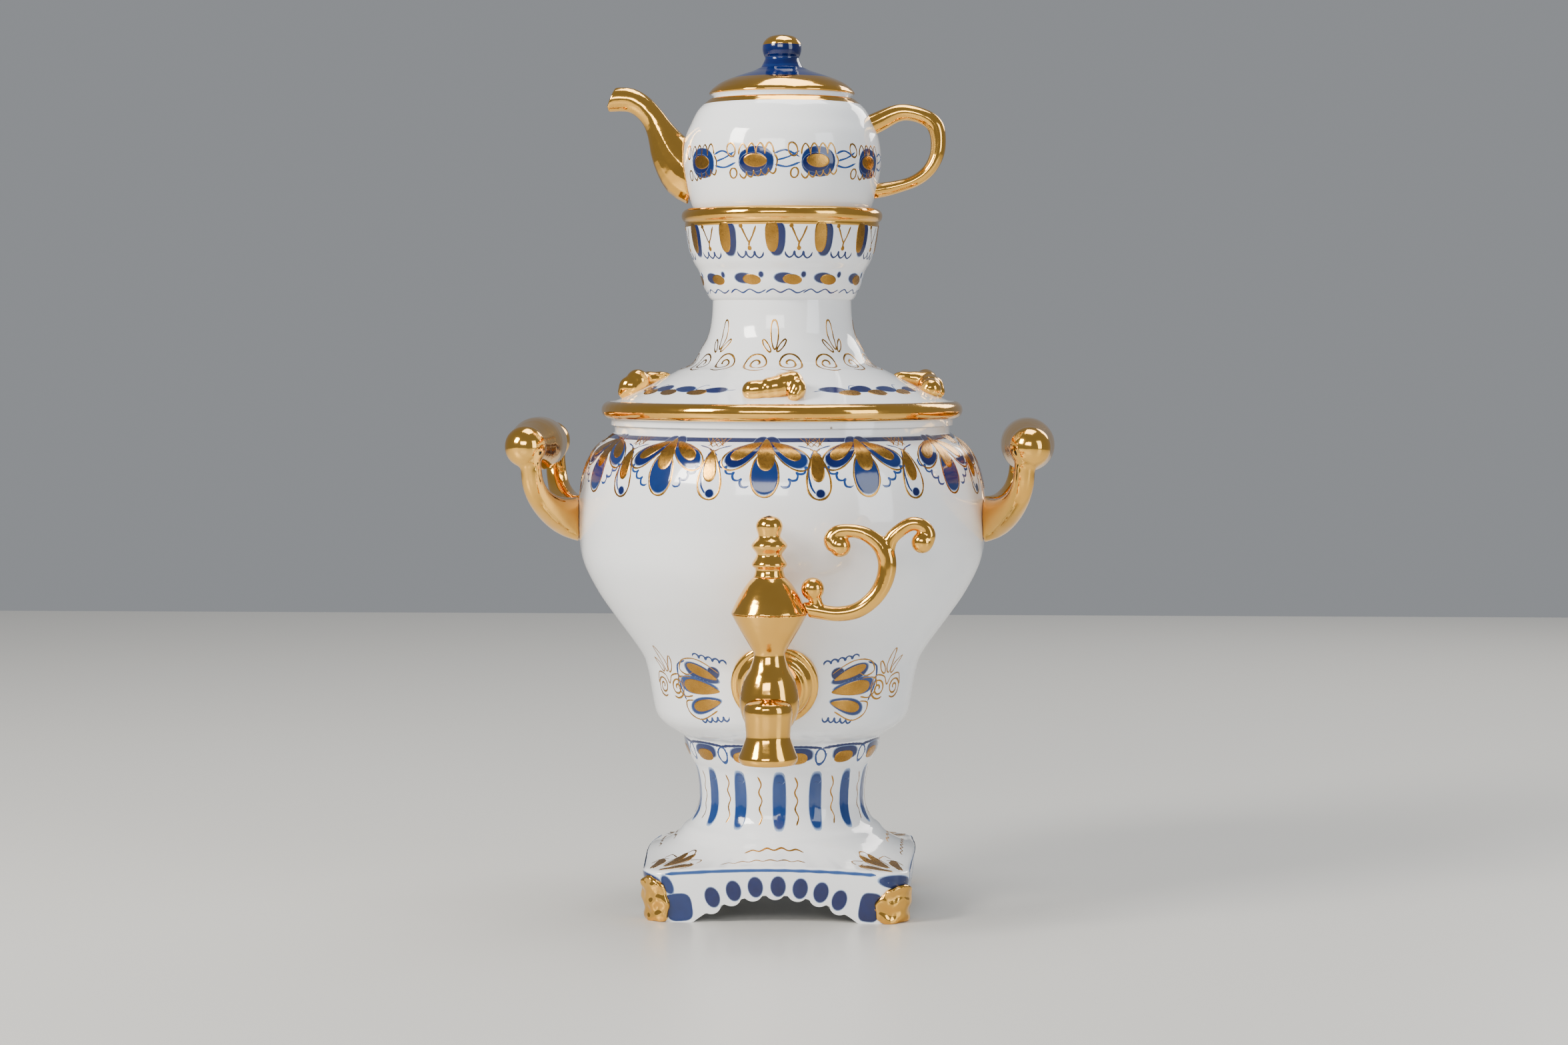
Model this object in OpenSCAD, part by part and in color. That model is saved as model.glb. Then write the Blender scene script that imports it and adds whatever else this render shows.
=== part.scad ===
// Blue-and-gold porcelain samovar set: a footed vessel with a tap, a lift-off crown and a small teapot.
// Millimetres, +Z up. The origin is on the vessel's axis, on the plane that the foot stands on.
// The tap points towards -Y, and the side handles towards -X and +X.

/* [Foot] */
// Width of the square foot across its top edge, beside its corners
foot_w = 117.5; // [98:0.5:142]
// Width of the square foot on the floor
foot_floor_w = 112.5; // [94:0.5:136]
// Radius of the foot's corners
foot_corner_r = 11; // [8:0.5:14]
// How far the foot's sides swell at their middle
foot_bulge = 1.3; // [0.5:0.1:2]
// Height of the square plate at its corners
plate_h = 22.2; // [18:0.1:27]
// Height of the foot and its stem, up to the vessel
foot_h = 76.2; // [66:0.1:92]
// Radius of the stem at its waist
waist_r = 37.2; // [32:0.1:42]
// Radius of the collar that carries the vessel
collar_r = 44.3; // [40:0.1:50]
// Wall of the hollow foot
foot_wall = 4.5; // [3.5:0.1:5.5]
// Width of the arch in each side
arch_w = 72; // [60:1:80]
// Height of the arch in each side
arch_h = 12.5; // [10:0.5:15]
// Reach of the narrow shell sprigs from their corners
narrow_paw_r = 8.2; // [6.8:0.1:9.8]
// Height of the narrow shell sprigs
narrow_paw_h = 21.6; // [18:0.1:22]
// Reach of the wide shell sprigs from their corners
wide_paw_r = 10.8; // [9:0.1:13]
// Height of the wide shell sprigs
wide_paw_h = 17; // [14:0.5:20.5]
// Thickness of the shell sprigs
paw_relief = 1.8; // [1.4:0.1:2.4]

/* [Vessel] */
// Height of the vessel from the stem to its lip
vessel_h = 139.3; // [116:0.1:168]
// Largest radius of the vessel
belly_r = 91.4; // [84:0.1:100]
// Radius of the vessel low down, beside the tap
hip_r = 58; // [52:0.1:64]
// Outer radius of the lip
lip_r = 75; // [70:0.1:80]
// Wall of the vessel
vessel_wall = 4.5; // [3.5:0.1:6]

/* [Tap] */
// Height of the water channel above the stem
tap_h = 28.1; // [24:0.1:34]
// Distance of the key's axis from the vessel's axis
tap_reach = 103; // [98:0.5:112]
// Radius of the flange against the vessel
rosette_r = 19; // [16:0.5:22]
// Height of the flange's centre above the channel
rosette_rise = 1; // [0:0.5:2]
// Downward tilt of the flange in degrees
rosette_tilt = 17; // [14:1:20]
// Height of the seat's upper edge above the channel
seat_h = 34.9; // [30:0.1:42]
// Radius of the seat's upper edge
seat_r = 16.1; // [13.5:0.1:19]
// Radius of the neck under the seat
tap_neck_r = 6.4; // [6:0.1:8]
// Radius of the barrel around the plug
barrel_r = 12.4; // [11:0.1:14]
// Radius of the plug at the seat's upper edge
plug_top_r = 4.5; // [4.2:0.1:4.8]
// Radius of the plug at its lower end
plug_end_r = 3.4; // [3.2:0.1:3.6]
// Length of the plug below the seat's edge
plug_len = 43; // [40:0.5:46]
// Radial clearance of the plug in its seat
plug_clearance = 0.08; // [0.04:0.01:0.1]
// Radius of the water channel
channel_r = 1.8; // [1.4:0.1:2]
// Height of the cone on top of the plug
cone_h = 15.3; // [13:0.1:18]
// Radius of the cone's top
cone_top_r = 6.7; // [5.6:0.1:8]
// Height of the finial
finial_h = 25.8; // [22:0.1:31]
// Distance of the spout's axis in front of the key's axis
spout_ahead = 9.5; // [8:0.5:11]
// Radius of the spout at its waist
tap_spout_r = 9.3; // [8:0.1:11]
// Radius of the spout's flared lip
tap_lip_r = 12.4; // [10.6:0.1:14.5]
// Length of the spout below the channel
tap_drop = 27.3; // [23:0.1:33]
// Radius of the spout's bore
tap_bore_r = 5.5; // [4.6:0.1:6.4]

/* [Side handles] */
// Distance of the grips from the vessel's axis
grip_reach = 110; // [106:0.5:118]
// Depth of the grips below the lip
grip_drop = 8.7; // [6:0.1:13]
// Largest radius of a grip
grip_r = 12; // [10:0.1:13.4]
// Radius of the balls at the ends of a grip
ball_r = 9.2; // [7.8:0.1:10.6]
// Distance between the balls of one grip
grip_span = 88; // [74:1:104]
// Distance between the arms where they meet the vessel
root_span = 17; // [14:0.5:21]
// Half the thickness of the arms
arm_r = 4.9; // [4.1:0.1:5.8]

/* [Crown] */
// Radius of the bead round the crown's rim
rim_r = 80.9; // [77:0.1:88]
// Half the thickness of that bead
bead_r = 3.8; // [3.2:0.1:4.4]
// Height of the crown from the vessel's lip to the cup
crown_h = 55.5; // [50:0.5:66]
// Radius of the crown's neck
neck_r = 31; // [27:0.1:34]
// Radius at which the skirt turns up into the neck
skirt_r = 49; // [44:0.5:54]
// Wall of the crown
crown_wall = 4.2; // [3.4:0.1:5]
// Depth of the ring that locates the crown in the lip
crown_ring_h = 8; // [6:0.5:10]
// Distance of the lugs from the axis
lug_r = 64.5; // [62:0.5:66]
// Width of a lug
lug_w = 26; // [22:0.5:30]
// Height of a lug above the skirt
lug_h = 8.9; // [7.4:0.1:10]

/* [Cup] */
// Outer radius of the cup's rim
cup_r = 44.9; // [43:0.1:53]
// Height of the cup
cup_h = 40.8; // [34:0.1:48]
// Height of the cup's floor above the crown's neck
cup_floor_h = 13; // [11:0.5:16]
// Wall of the cup
cup_wall = 3.2; // [2.6:0.1:3.9]
// Radius of the steam hole in the cup's floor
vent_r = 10; // [8:0.5:12]

/* [Teapot] */
// Largest radius of the teapot
pot_r = 44.3; // [40:0.1:48]
// Height of the teapot from its foot to its mouth
pot_h = 76.5; // [72:0.5:92]
// Radius of the teapot's foot
pot_foot_r = 23.5; // [20:0.5:27]
// Radius of the teapot's mouth inside
pot_mouth_r = 29; // [25:0.1:31]
// Wall of the teapot
pot_wall = 3; // [2.5:0.1:3.6]
// Radius of a strainer hole
strainer_r = 1.2; // [1:0.1:1.5]
// Radius of the spout's bore at its tip
pour_r = 3.7; // [3:0.1:4.2]
// Half the width of the teapot handle, front to back
loop_r = 4; // [3.4:0.1:4.8]

/* [Lid] */
// Radius of the lid's rim
lid_r = 32.4; // [31:0.1:36]
// Height of the lid without its knob
lid_h = 14.2; // [12.6:0.1:15.6]
// Wall of the lid
lid_wall = 2.8; // [2.3:0.1:3.4]
// Depth of the ring that locates the lid in the mouth
lid_ring_h = 7; // [6:0.5:9]
// Height of the knob
knob_h = 14.7; // [13.2:0.1:17]
// Largest radius of the knob
knob_r = 8.7; // [7.3:0.1:10.4]

/* [Fits] */
// Radial clearance of a lift-off piece in the piece that holds it
lift_clearance = 0.8; // [0.6:0.1:1]

/* [Hidden] */
PAWS = ["paw_front_left", "paw_front_right", "paw_back_left", "paw_back_right"];
LUGS = ["lug_front", "lug_back", "lug_left", "lug_right"];
$fn = 64;

// Heights of the joints between the pieces
vessel_z = foot_h;
lip_z = vessel_z + vessel_h;
cup_z = lip_z + crown_h;
pot_z = cup_z + cup_floor_h;
lid_z = pot_z + pot_h;
channel_z = vessel_z + tap_h;
seat_z = channel_z + seat_h;
cone_z = seat_z + cone_h;
grip_z = lip_z - grip_drop;

white = "whitesmoke";
gilt = "goldenrod";
cobalt = "royalblue";

// Steps between two points of a smooth line
line_steps = 3;
// Sides of a swept bar
bar_sides = 16;
// A cut reaches this far past the solid that it cuts
past = 1;

// Lines ------------------------------------------------------------------------------------------

// Point at share t of the curve between b and c, which also depends on their neighbours a and d
function curve_point(a, b, c, d, t) =
  0.5 * (2 * b + (c - a) * t + (2 * a - 5 * b + 4 * c - d) * t * t + (3 * b - a - 3 * c + d) * t * t * t);

// Smooth line through all the given points
function smooth(points, steps = line_steps) =
  let (last = len(points) - 1)
  concat(
    [for (i = [0 : last - 1], k = [0 : steps - 1])
      curve_point(points[max(i - 1, 0)], points[i], points[i + 1], points[min(i + 2, last)], k / steps)],
    [points[last]]
  );

// The same line, moved to its left by a distance
function beside(points, distance) =
  let (last = len(points) - 1)
  [for (i = [0 : last])
    let (along = points[min(i + 1, last)] - points[max(i - 1, 0)])
    points[i] + distance * [-along[1], along[0]] / norm(along)];

// The same line, starting at its other end
function backwards(points) = [for (i = [len(points) - 1 : -1 : 0]) points[i]];

// Part of a circle in the plane, from one angle to another
function arc(centre, radius, from, to, steps = 8) =
  [for (k = [0 : steps]) let (a = from + (to - from) * k / steps) centre + radius * [cos(a), sin(a)]];

// Value at a share of the way from a to b
function between(a, b, share) = a + (b - a) * share;

// A round or oval bar along a line of [x, y, z, half thickness, half width across]
module bar(line, sides = bar_sides) {
  last = len(line) - 1;
  place = function(i) [line[i][0], line[i][1], line[i][2]];
  rings = [for (i = [0 : last])
    let (along = place(min(i + 1, last)) - place(max(i - 1, 0)),
         up = cross(along, [0, 1, 0]) / norm(cross(along, [0, 1, 0])),
         across = cross(up, along) / norm(along))
    for (k = [0 : sides - 1])
      let (a = 360 * k / sides)
      place(i) + line[i][3] * cos(a) * up + line[i][4] * sin(a) * across];
  walls = [for (i = [0 : last - 1], k = [0 : sides - 1])
    let (a = i * sides + k, b = i * sides + (k + 1) % sides)
    each [[a, b, b + sides], [a, b + sides, a + sides]]];
  ends = [[for (k = [sides - 1 : -1 : 0]) k], [for (k = [0 : sides - 1]) last * sides + k]];
  polyhedron(rings, concat(ends, walls), convexity = 6);
}

// Foot -------------------------------------------------------------------------------------------

// Outline of the square foot, with swelling sides and round corners
function foot_outline(width, grow = 0) =
  let (half = width / 2, straight = half - foot_corner_r, side_steps = 8)
  [for (turn = [0 : 3])
    each [for (p = concat(
        [for (k = [1 : side_steps - 1])
          let (share = 2 * k / side_steps - 1)
          [share * straight, -half - grow - foot_bulge * (1 + cos(180 * share)) / 2]],
        arc([straight, -straight], foot_corner_r + grow, -90, 0)))
      [p[0] * cos(90 * turn) - p[1] * sin(90 * turn), p[0] * sin(90 * turn) + p[1] * cos(90 * turn)]]];

// Radius on the flare, at a share of the way from the waist to the middle of a side
function flare_r(share) = between(waist_r, foot_w / 2, share);

// Line of the stem and the plate's top, from the plate's corners up to the collar
stem_line = smooth([
  [foot_w * 0.72, plate_h - 0.2],
  [flare_r(1.57), plate_h + 0.8],
  [flare_r(1), plate_h + 3.1],
  [flare_r(0.6), between(plate_h, foot_h, 0.13)],
  [flare_r(0.43), between(plate_h, foot_h, 0.187)],
  [flare_r(0.32), between(plate_h, foot_h, 0.239)],
  [flare_r(0.18), between(plate_h, foot_h, 0.287)],
  [flare_r(0.04), between(plate_h, foot_h, 0.383)],
  [waist_r, between(plate_h, foot_h, 0.52)],
  [between(waist_r, collar_r, 0.2), between(plate_h, foot_h, 0.717)],
  [between(waist_r, collar_r, 0.55), between(plate_h, foot_h, 0.811)],
  [between(waist_r, collar_r, 0.89), between(plate_h, foot_h, 0.907)],
  [collar_r, foot_h]
]);

// Solid of the square plate, wider towards its top
module plate(grow = 0) {
  linear_extrude(foot_h, scale = between(1, foot_w / foot_floor_w, foot_h / plate_h))
    polygon(foot_outline(foot_floor_w, grow));
}

// Opening between two feet: an arch with small lobes hanging from its edge
module arch_cut() {
  lobes = 7;
  rise = arch_h + foot_floor_w;
  radius = (arch_w * arch_w / 4 + arch_h * arch_h) / (2 * arch_h);
  lobe_r = arch_w / (2 * lobes + 2);
  rotate([90, 0, 0]) linear_extrude(rise) difference() {
    translate([0, arch_h - radius]) circle(radius, $fn = 96);
    translate([-foot_w, -2 * foot_w]) square([2 * foot_w, 2 * foot_w - past]);
    for (k = [0 : lobes - 1]) {
      a = (k - (lobes - 1) / 2) * 2.05 * lobe_r / radius * 180 / PI;
      translate([0, arch_h - radius]) rotate(-a) translate([0, radius + lobe_r * 0.55])
        circle(lobe_r, $fn = 24);
    }
  }
}

module pedestal() {
  color(white) difference() {
    intersection() {
      rotate_extrude() polygon(concat(stem_line, [[0, foot_h], [0, 0], [foot_w * 0.72, 0]]));
      plate();
    }
    intersection() {
      rotate_extrude() polygon(concat(
        beside(stem_line, foot_wall),
        [[collar_r - foot_wall, foot_h + past], [0, foot_h + past], [0, -past], [foot_w * 0.72, -past]]
      ));
      translate([0, 0, -past]) linear_extrude(foot_h + 3 * past)
        polygon(foot_outline(foot_floor_w, -foot_wall));
    }
    for (turn = [0 : 3]) rotate(90 * turn) arch_cut();
  }
}

// Shell sprig on one corner of the foot, drawn at the front right and turned into place
module paw(turn, reach, height) {
  corner = foot_floor_w / 2 - foot_corner_r + foot_corner_r * cos(45);
  color(gilt) rotate(turn) difference() {
    intersection() {
      plate(paw_relief);
      translate([corner, -corner, height * 0.4])
        scale([1, 1, 0.6 * height / reach]) sphere(reach, $fn = 48);
      translate([0, -foot_w, 0]) cube([foot_w, foot_w, height]);
    }
    plate();
  }
}

// Vessel -----------------------------------------------------------------------------------------

vessel_line = smooth([
  [collar_r, vessel_z],
  [between(collar_r, hip_r, 0.6), vessel_z + 5.1],
  [between(collar_r, hip_r, 0.88), vessel_z + 9.6],
  [hip_r, vessel_z + 15.8],
  [hip_r + 2.4, between(vessel_z, lip_z, 0.211)],
  [hip_r + 5.6, between(vessel_z, lip_z, 0.271)],
  [between(hip_r, belly_r, 0.51), between(vessel_z, lip_z, 0.386)],
  [between(hip_r, belly_r, 0.735), between(vessel_z, lip_z, 0.465)],
  [between(hip_r, belly_r, 0.925), between(vessel_z, lip_z, 0.556)],
  [between(hip_r, belly_r, 0.99), between(vessel_z, lip_z, 0.638)],
  [belly_r, between(vessel_z, lip_z, 0.738)],
  [between(belly_r, lip_r, 0.07), between(vessel_z, lip_z, 0.82)],
  [between(belly_r, lip_r, 0.24), lip_z - 16],
  [between(belly_r, lip_r, 0.5), lip_z - 9.4],
  [lip_r, lip_z - 3.2]
]);

// Outside of the vessel as a full solid, for what is luted onto it
module vessel_outside() {
  rotate_extrude() polygon(concat([[0, vessel_z]], vessel_line, [[lip_r, lip_z], [0, lip_z]]));
}

module water_channel() {
  translate([0, 0, channel_z]) rotate([90, 0, 0]) cylinder(r = channel_r, h = tap_reach + spout_ahead);
}

module vessel() {
  inside = beside(vessel_line, vessel_wall);
  floor_z = vessel_z + vessel_wall;
  color(white) difference() {
    rotate_extrude() polygon(concat(
      [[0, vessel_z]], vessel_line, [[lip_r, lip_z], [lip_r - vessel_wall, lip_z]],
      backwards([for (p = inside) if (p[1] > floor_z + 1) p]),
      [[0, floor_z]]
    ));
    water_channel();
  }
}

// Tap --------------------------------------------------------------------------------------------

// Lines round the key's axis, with heights counted from the channel
barrel_line = smooth([
  [4, -15.2], [9, -13], [barrel_r - 0.5, -7], [barrel_r, -1], [between(tap_neck_r, barrel_r, 0.72), 7],
  [between(tap_neck_r, barrel_r, 0.22), 13], [tap_neck_r, 17.5]
]);
seat_line = smooth([
  [tap_neck_r, 17.5], [tap_neck_r + 0.9, 19.6],
  [between(tap_neck_r, seat_r, 0.62), between(19.6, seat_h, 0.55)],
  [seat_r - 0.5, seat_h - 1], [seat_r, seat_h]
]);
// Line of the cone on the plug, with heights counted from the seat's edge
cone_line = smooth([
  [seat_r, 0], [seat_r - 0.4, 1.2], [between(seat_r, cone_top_r, 0.31), cone_h * 0.42],
  [between(seat_r, cone_top_r, 0.7), cone_h * 0.8], [cone_top_r, cone_h]
]);
// Line of the spout, with heights counted from the channel
tap_spout_line = smooth([
  [tap_lip_r - 1.2, -tap_drop], [tap_lip_r, 2.4 - tap_drop], [tap_lip_r - 1.1, 5.6 - tap_drop],
  [tap_spout_r + 0.4, 10 - tap_drop], [tap_spout_r, -15], [tap_spout_r + 0.5, -9],
  [tap_spout_r + 0.9, -5.5], [tap_spout_r, -2], [tap_spout_r * 0.55, 0.4]
]);

module rosette_solid() {
  line = [
    [rosette_r, 0], [rosette_r, 2.4], [rosette_r - 0.8, 3.4], [rosette_r - 2.6, 3.8], [rosette_r - 3.2, 5],
    [rosette_r - 4.4, 6.6], [rosette_r - 5.6, 7], [rosette_r - 6.4, 8.4], [0, 8.4]
  ];
  wall_r = hip_r + 2.4;
  translate([0, -wall_r, channel_z + rosette_rise]) rotate([90 + rosette_tilt, 0, 0])
    rotate_extrude() polygon(concat([[0, -rosette_r], [rosette_r, -rosette_r]], line));
}

// The trunk runs level from the flange to the key's axis
module trunk_solid() {
  translate([0, -hip_r, channel_z]) rotate([90, 0, 0])
    rotate_extrude() polygon(concat(
      [[0, 0]], smooth([[12.6, 0], [12.2, 10], [11, 17], [10.4, 25], [10.6, tap_reach - hip_r]]),
      [[0, tap_reach - hip_r]]
    ));
}

// Space for the plug: the plug and its clearance
module plug_space() {
  translate([0, -tap_reach, seat_z - plug_len - 0.5])
    cylinder(r1 = plug_end_r + plug_clearance, r2 = plug_top_r + plug_clearance, h = plug_len + 0.5);
}

module tap_rosette() {
  color(gilt) difference() {
    rosette_solid();
    vessel_outside();
    water_channel();
  }
}

module barrel_solid() {
  translate([0, -tap_reach, channel_z]) rotate_extrude() polygon(concat(
    [[0, barrel_line[0][1]]], barrel_line, seat_line, [[0, seat_h]]
  ));
}

module tap_barrel() {
  color(gilt) difference() {
    union() {
      barrel_solid();
      trunk_solid();
    }
    rosette_solid();
    vessel_outside();
    plug_space();
    water_channel();
  }
}

module tap_spout() {
  color(gilt) difference() {
    translate([0, -tap_reach - spout_ahead, channel_z]) rotate_extrude() polygon(concat(
      [[0, -tap_drop]], tap_spout_line, [[0, 0.4]]
    ));
    barrel_solid();
    translate([0, -tap_reach - spout_ahead, channel_z - tap_drop - past])
      cylinder(r = tap_bore_r, h = tap_drop - 6 + past);
    translate([0, -tap_reach - spout_ahead, channel_z - 7]) cylinder(r = channel_r, h = 7);
    water_channel();
  }
}

module tap_plug() {
  color(gilt) difference() {
    translate([0, -tap_reach, seat_z]) rotate_extrude() polygon(concat(
      [[0, -plug_len], [plug_end_r, -plug_len], [plug_top_r, 0]],
      cone_line,
      [[0, cone_h]]
    ));
    translate([-seat_r, -tap_reach, channel_z]) rotate([0, 90, 0]) cylinder(r = channel_r, h = 2 * seat_r);
  }
}

module tap_finial() {
  line = smooth([
    [cone_top_r, 0], [5.9, 0.12 * finial_h], [7.5, 0.2 * finial_h], [5.6, 0.33 * finial_h],
    [5.5, 0.38 * finial_h], [7.6, 0.51 * finial_h], [4.9, 0.64 * finial_h],
    [4.7, 0.68 * finial_h], [5.7, 0.83 * finial_h], [4, 0.95 * finial_h], [0.3, finial_h]
  ], 4);
  color(gilt) translate([0, -tap_reach, cone_z]) rotate_extrude()
    polygon(concat([[0, 0]], line, [[0, finial_h]]));
}

// A bar of the scroll: points are [x, height above the seat's edge, half thickness]
module scroll_bar(points) {
  bar(smooth([for (p = points) [p[0], -tap_reach, seat_z + p[1], p[2], p[2]]], 4));
}

module scroll_ball(x, height, radius) {
  translate([x, -tap_reach, seat_z + height]) sphere(radius, $fn = 32);
}

module tap_scroll() {
  root = seat_r - 4;
  color(gilt) difference() {
    union() {
      scroll_bar([
        [root, 2.3, 3], [root + 9, 0.8, 3.2], [root + 16.5, -0.1, 3.2], [root + 24.5, 1.4, 3.4],
        [root + 31.3, 6.3, 3.6], [root + 35.5, 12.8, 3.8], [root + 37.1, 19.8, 4], [root + 36, 26, 4],
        [root + 32.3, 30.5, 3.4], [root + 27, 33.7, 3], [root + 21.3, 34.7, 2.9], [root + 16.2, 34.1, 3],
        [root + 13.7, 31.1, 3.4], [root + 15.4, 28.4, 3.8]
      ]);
      scroll_bar([
        [root + 36.6, 22, 3.2], [root + 38.2, 30.5, 3.1], [root + 42.6, 35.1, 3], [root + 47.5, 37.7, 3],
        [root + 52, 36.6, 3], [root + 54.1, 33.3, 3.2], [root + 53, 30.1, 3.6]
      ]);
      scroll_bar([[root + 9, 1, 2.8], [root + 7.6, 4.6, 2.6], [root + 6.6, 8, 3]]);
      scroll_ball(root + 17.4, 28.2, 4.6);
      scroll_ball(root + 51.6, 29.9, 4.6);
      scroll_ball(root + 6, 10.3, 4.9);
    }
    // the cone it is fixed to, and the seat it passes over
    translate([0, -tap_reach, seat_z]) rotate_extrude() polygon(concat(
      [[0, -6], [seat_r + 2 * plug_clearance, -6], [seat_r + 2 * plug_clearance, 0]],
      cone_line,
      [[0, cone_h]]
    ));
  }
}

// Side handles -----------------------------------------------------------------------------------

// One arm, on the side of the grip that front gives as -1 or 1
module arm(front) {
  end_y = front * grip_span / 2;
  root_y = front * root_span / 2;
  root_x = belly_r - 6;
  bar(smooth([
    [grip_reach - 0.5, end_y, grip_z, arm_r, arm_r],
    [grip_reach - 2.2, end_y, grip_z - 8, arm_r - 0.2, arm_r],
    [grip_reach - 3, end_y * 0.97, grip_z - 16, arm_r, arm_r],
    [grip_reach - 5.4, between(root_y, end_y, 0.8), grip_z - 23, arm_r + 0.6, arm_r + 0.4],
    [grip_reach - 10, between(root_y, end_y, 0.48), grip_z - 29, arm_r + 2.2, arm_r + 1.2],
    [grip_reach - 16, between(root_y, end_y, 0.13), grip_z - 32.6, arm_r + 4.4, arm_r + 2.4],
    [root_x, root_y, grip_z - 34, arm_r + 6, arm_r + 2.8]
  ]));
}

module handle() {
  grip = smooth([
    [ball_r * 0.78, -grip_span / 2 + 5], [ball_r * 0.94, -grip_span * 0.34],
    [grip_r * 0.97, -grip_span * 0.14], [grip_r, 0], [grip_r * 0.97, grip_span * 0.14],
    [ball_r * 0.94, grip_span * 0.34], [ball_r * 0.78, grip_span / 2 - 5]
  ]);
  color(gilt) difference() {
    union() {
      translate([grip_reach, 0, grip_z]) rotate([90, 0, 0]) rotate_extrude() polygon(concat(
        [[0, -grip_span / 2 + 5]], grip, [[0, grip_span / 2 - 5]]
      ));
      for (front = [-1, 1]) {
        translate([grip_reach, front * grip_span / 2, grip_z]) sphere(ball_r, $fn = 48);
        arm(front);
      }
    }
    vessel_outside();
  }
}

module handle_left() {
  mirror([1, 0, 0]) handle();
}

module handle_right() {
  handle();
}

// Crown ------------------------------------------------------------------------------------------

seat_ring_r = lip_r + 1.6;
skirt_line = smooth([
  [rim_r - 5.9, 2 * bead_r + 2.9], [between(skirt_r, rim_r - 5.9, 0.5), 2 * bead_r + 8.9],
  [skirt_r + 1, 2 * bead_r + 14.9], [between(neck_r, skirt_r, 0.83), 2 * bead_r + 17],
  [between(neck_r, skirt_r, 0.5), 2 * bead_r + 20],
  [between(neck_r, skirt_r, 0.29), between(0, crown_h, 0.61)],
  [between(neck_r, skirt_r, 0.11), between(0, crown_h, 0.72)],
  [neck_r + 0.4, between(0, crown_h, 0.86)], [neck_r, crown_h]
]);

// Outside of the crown as a full solid, for what is luted onto it
module crown_outside() {
  bead_x = rim_r - bead_r;
  translate([0, 0, lip_z]) rotate_extrude() polygon(concat(
    [[0, 0], [seat_ring_r, 0], [seat_ring_r, 2.9]],
    arc([bead_x, 2.9 + bead_r], bead_r, -80, 90, 14),
    skirt_line, [[0, crown_h]]
  ));
}

module crown_skirt() {
  ring_r = lip_r - vessel_wall - lift_clearance;
  inside = beside(skirt_line, crown_wall);
  color(white) union() {
    difference() {
      crown_outside();
      translate([0, 0, lip_z]) rotate_extrude() polygon(concat(
        [[0, -past], [ring_r - crown_wall, -past], [ring_r - crown_wall, inside[0][1] - 1.5]],
        inside, [[neck_r - crown_wall, crown_h + past], [0, crown_h + past]]
      ));
    }
    translate([0, 0, lip_z - crown_ring_h]) difference() {
      cylinder(r = ring_r, h = crown_ring_h + 0.5);
      translate([0, 0, -past]) cylinder(r = ring_r - crown_wall, h = crown_ring_h + 3 * past);
    }
  }
}

cup_line = smooth([
  [neck_r, 0], [neck_r + 1.6, 1.4], [between(neck_r, cup_r, 0.3), cup_h * 0.16],
  [between(neck_r, cup_r, 0.43), cup_h * 0.31], [between(neck_r, cup_r, 0.62), cup_h * 0.425],
  [between(neck_r, cup_r, 0.77), cup_h * 0.575], [cup_r - 1.5, cup_h - 7]
]);

module crown_gallery() {
  inside = beside(cup_line, cup_wall);
  rim = arc([cup_r - cup_wall, cup_h - cup_wall], cup_wall, -60, 120, 12);
  color(white) translate([0, 0, cup_z]) rotate_extrude() polygon(concat(
    cup_line, rim,
    backwards([for (p = inside) if (p[1] > cup_floor_h + 1) p]),
    [[between(neck_r, cup_r, 0.43) - cup_wall, cup_floor_h], [vent_r, cup_floor_h],
      [vent_r, cup_floor_h - cup_wall]],
    backwards([for (p = inside) if (p[1] > 1 && p[1] < cup_floor_h - cup_wall - 1) p]),
    [[neck_r - crown_wall, 0]]
  ));
}

// Gilt lug on the skirt, drawn at the front and turned into place
module lug(turn) {
  low = [-lug_w * 0.36, lug_w * 0.02];
  color(gilt) rotate(turn) difference() {
    translate([0, -lug_r, lip_z + 2 * bead_r + 8]) {
      hull() {
        translate([low[0], -2, lug_h * 0.08]) sphere(lug_h * 0.46, $fn = 24);
        translate([low[1], -2, lug_h * 0.14]) sphere(lug_h * 0.48, $fn = 24);
      }
      hull() {
        translate([lug_w * 0.06, -1, lug_h * 0.2]) sphere(lug_h * 0.42, $fn = 24);
        translate([lug_w * 0.3, 1, lug_h * 0.42]) sphere(lug_h * 0.54, $fn = 24);
        translate([lug_w * 0.4, -6, -lug_h * 0.2]) sphere(lug_h * 0.3, $fn = 24);
      }
      hull() {
        translate([lug_w * 0.16, 1, lug_h * 0.42]) sphere(lug_h * 0.42, $fn = 24);
        translate([lug_w * 0.04, 14, lug_h * 0.7]) sphere(lug_h * 0.16, $fn = 24);
      }
    }
    crown_outside();
  }
}

// Teapot -----------------------------------------------------------------------------------------

// Height of the teapot's widest place
pot_wide_h = pot_h * 0.66;
pot_line = smooth([
  [pot_foot_r - 0.8, 0], [pot_foot_r, 1.6], [pot_foot_r, 4], [between(pot_foot_r, pot_r, 0.13), 7.4],
  [between(pot_foot_r, pot_r, 0.41), pot_wide_h * 0.3],
  [between(pot_foot_r, pot_r, 0.68), pot_wide_h * 0.48],
  [between(pot_foot_r, pot_r, 0.85), pot_wide_h * 0.635],
  [between(pot_foot_r, pot_r, 0.965), pot_wide_h * 0.84],
  [pot_r, pot_wide_h], [pot_r - 1.2, between(pot_wide_h, pot_h, 0.35)],
  [pot_r - 3.7, between(pot_wide_h, pot_h, 0.58)],
  [pot_r - 6.8, between(pot_wide_h, pot_h, 0.81)], [pot_mouth_r + 4.4, between(pot_wide_h, pot_h, 0.965)],
  [pot_mouth_r + 3.2, pot_h]
]);

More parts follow.
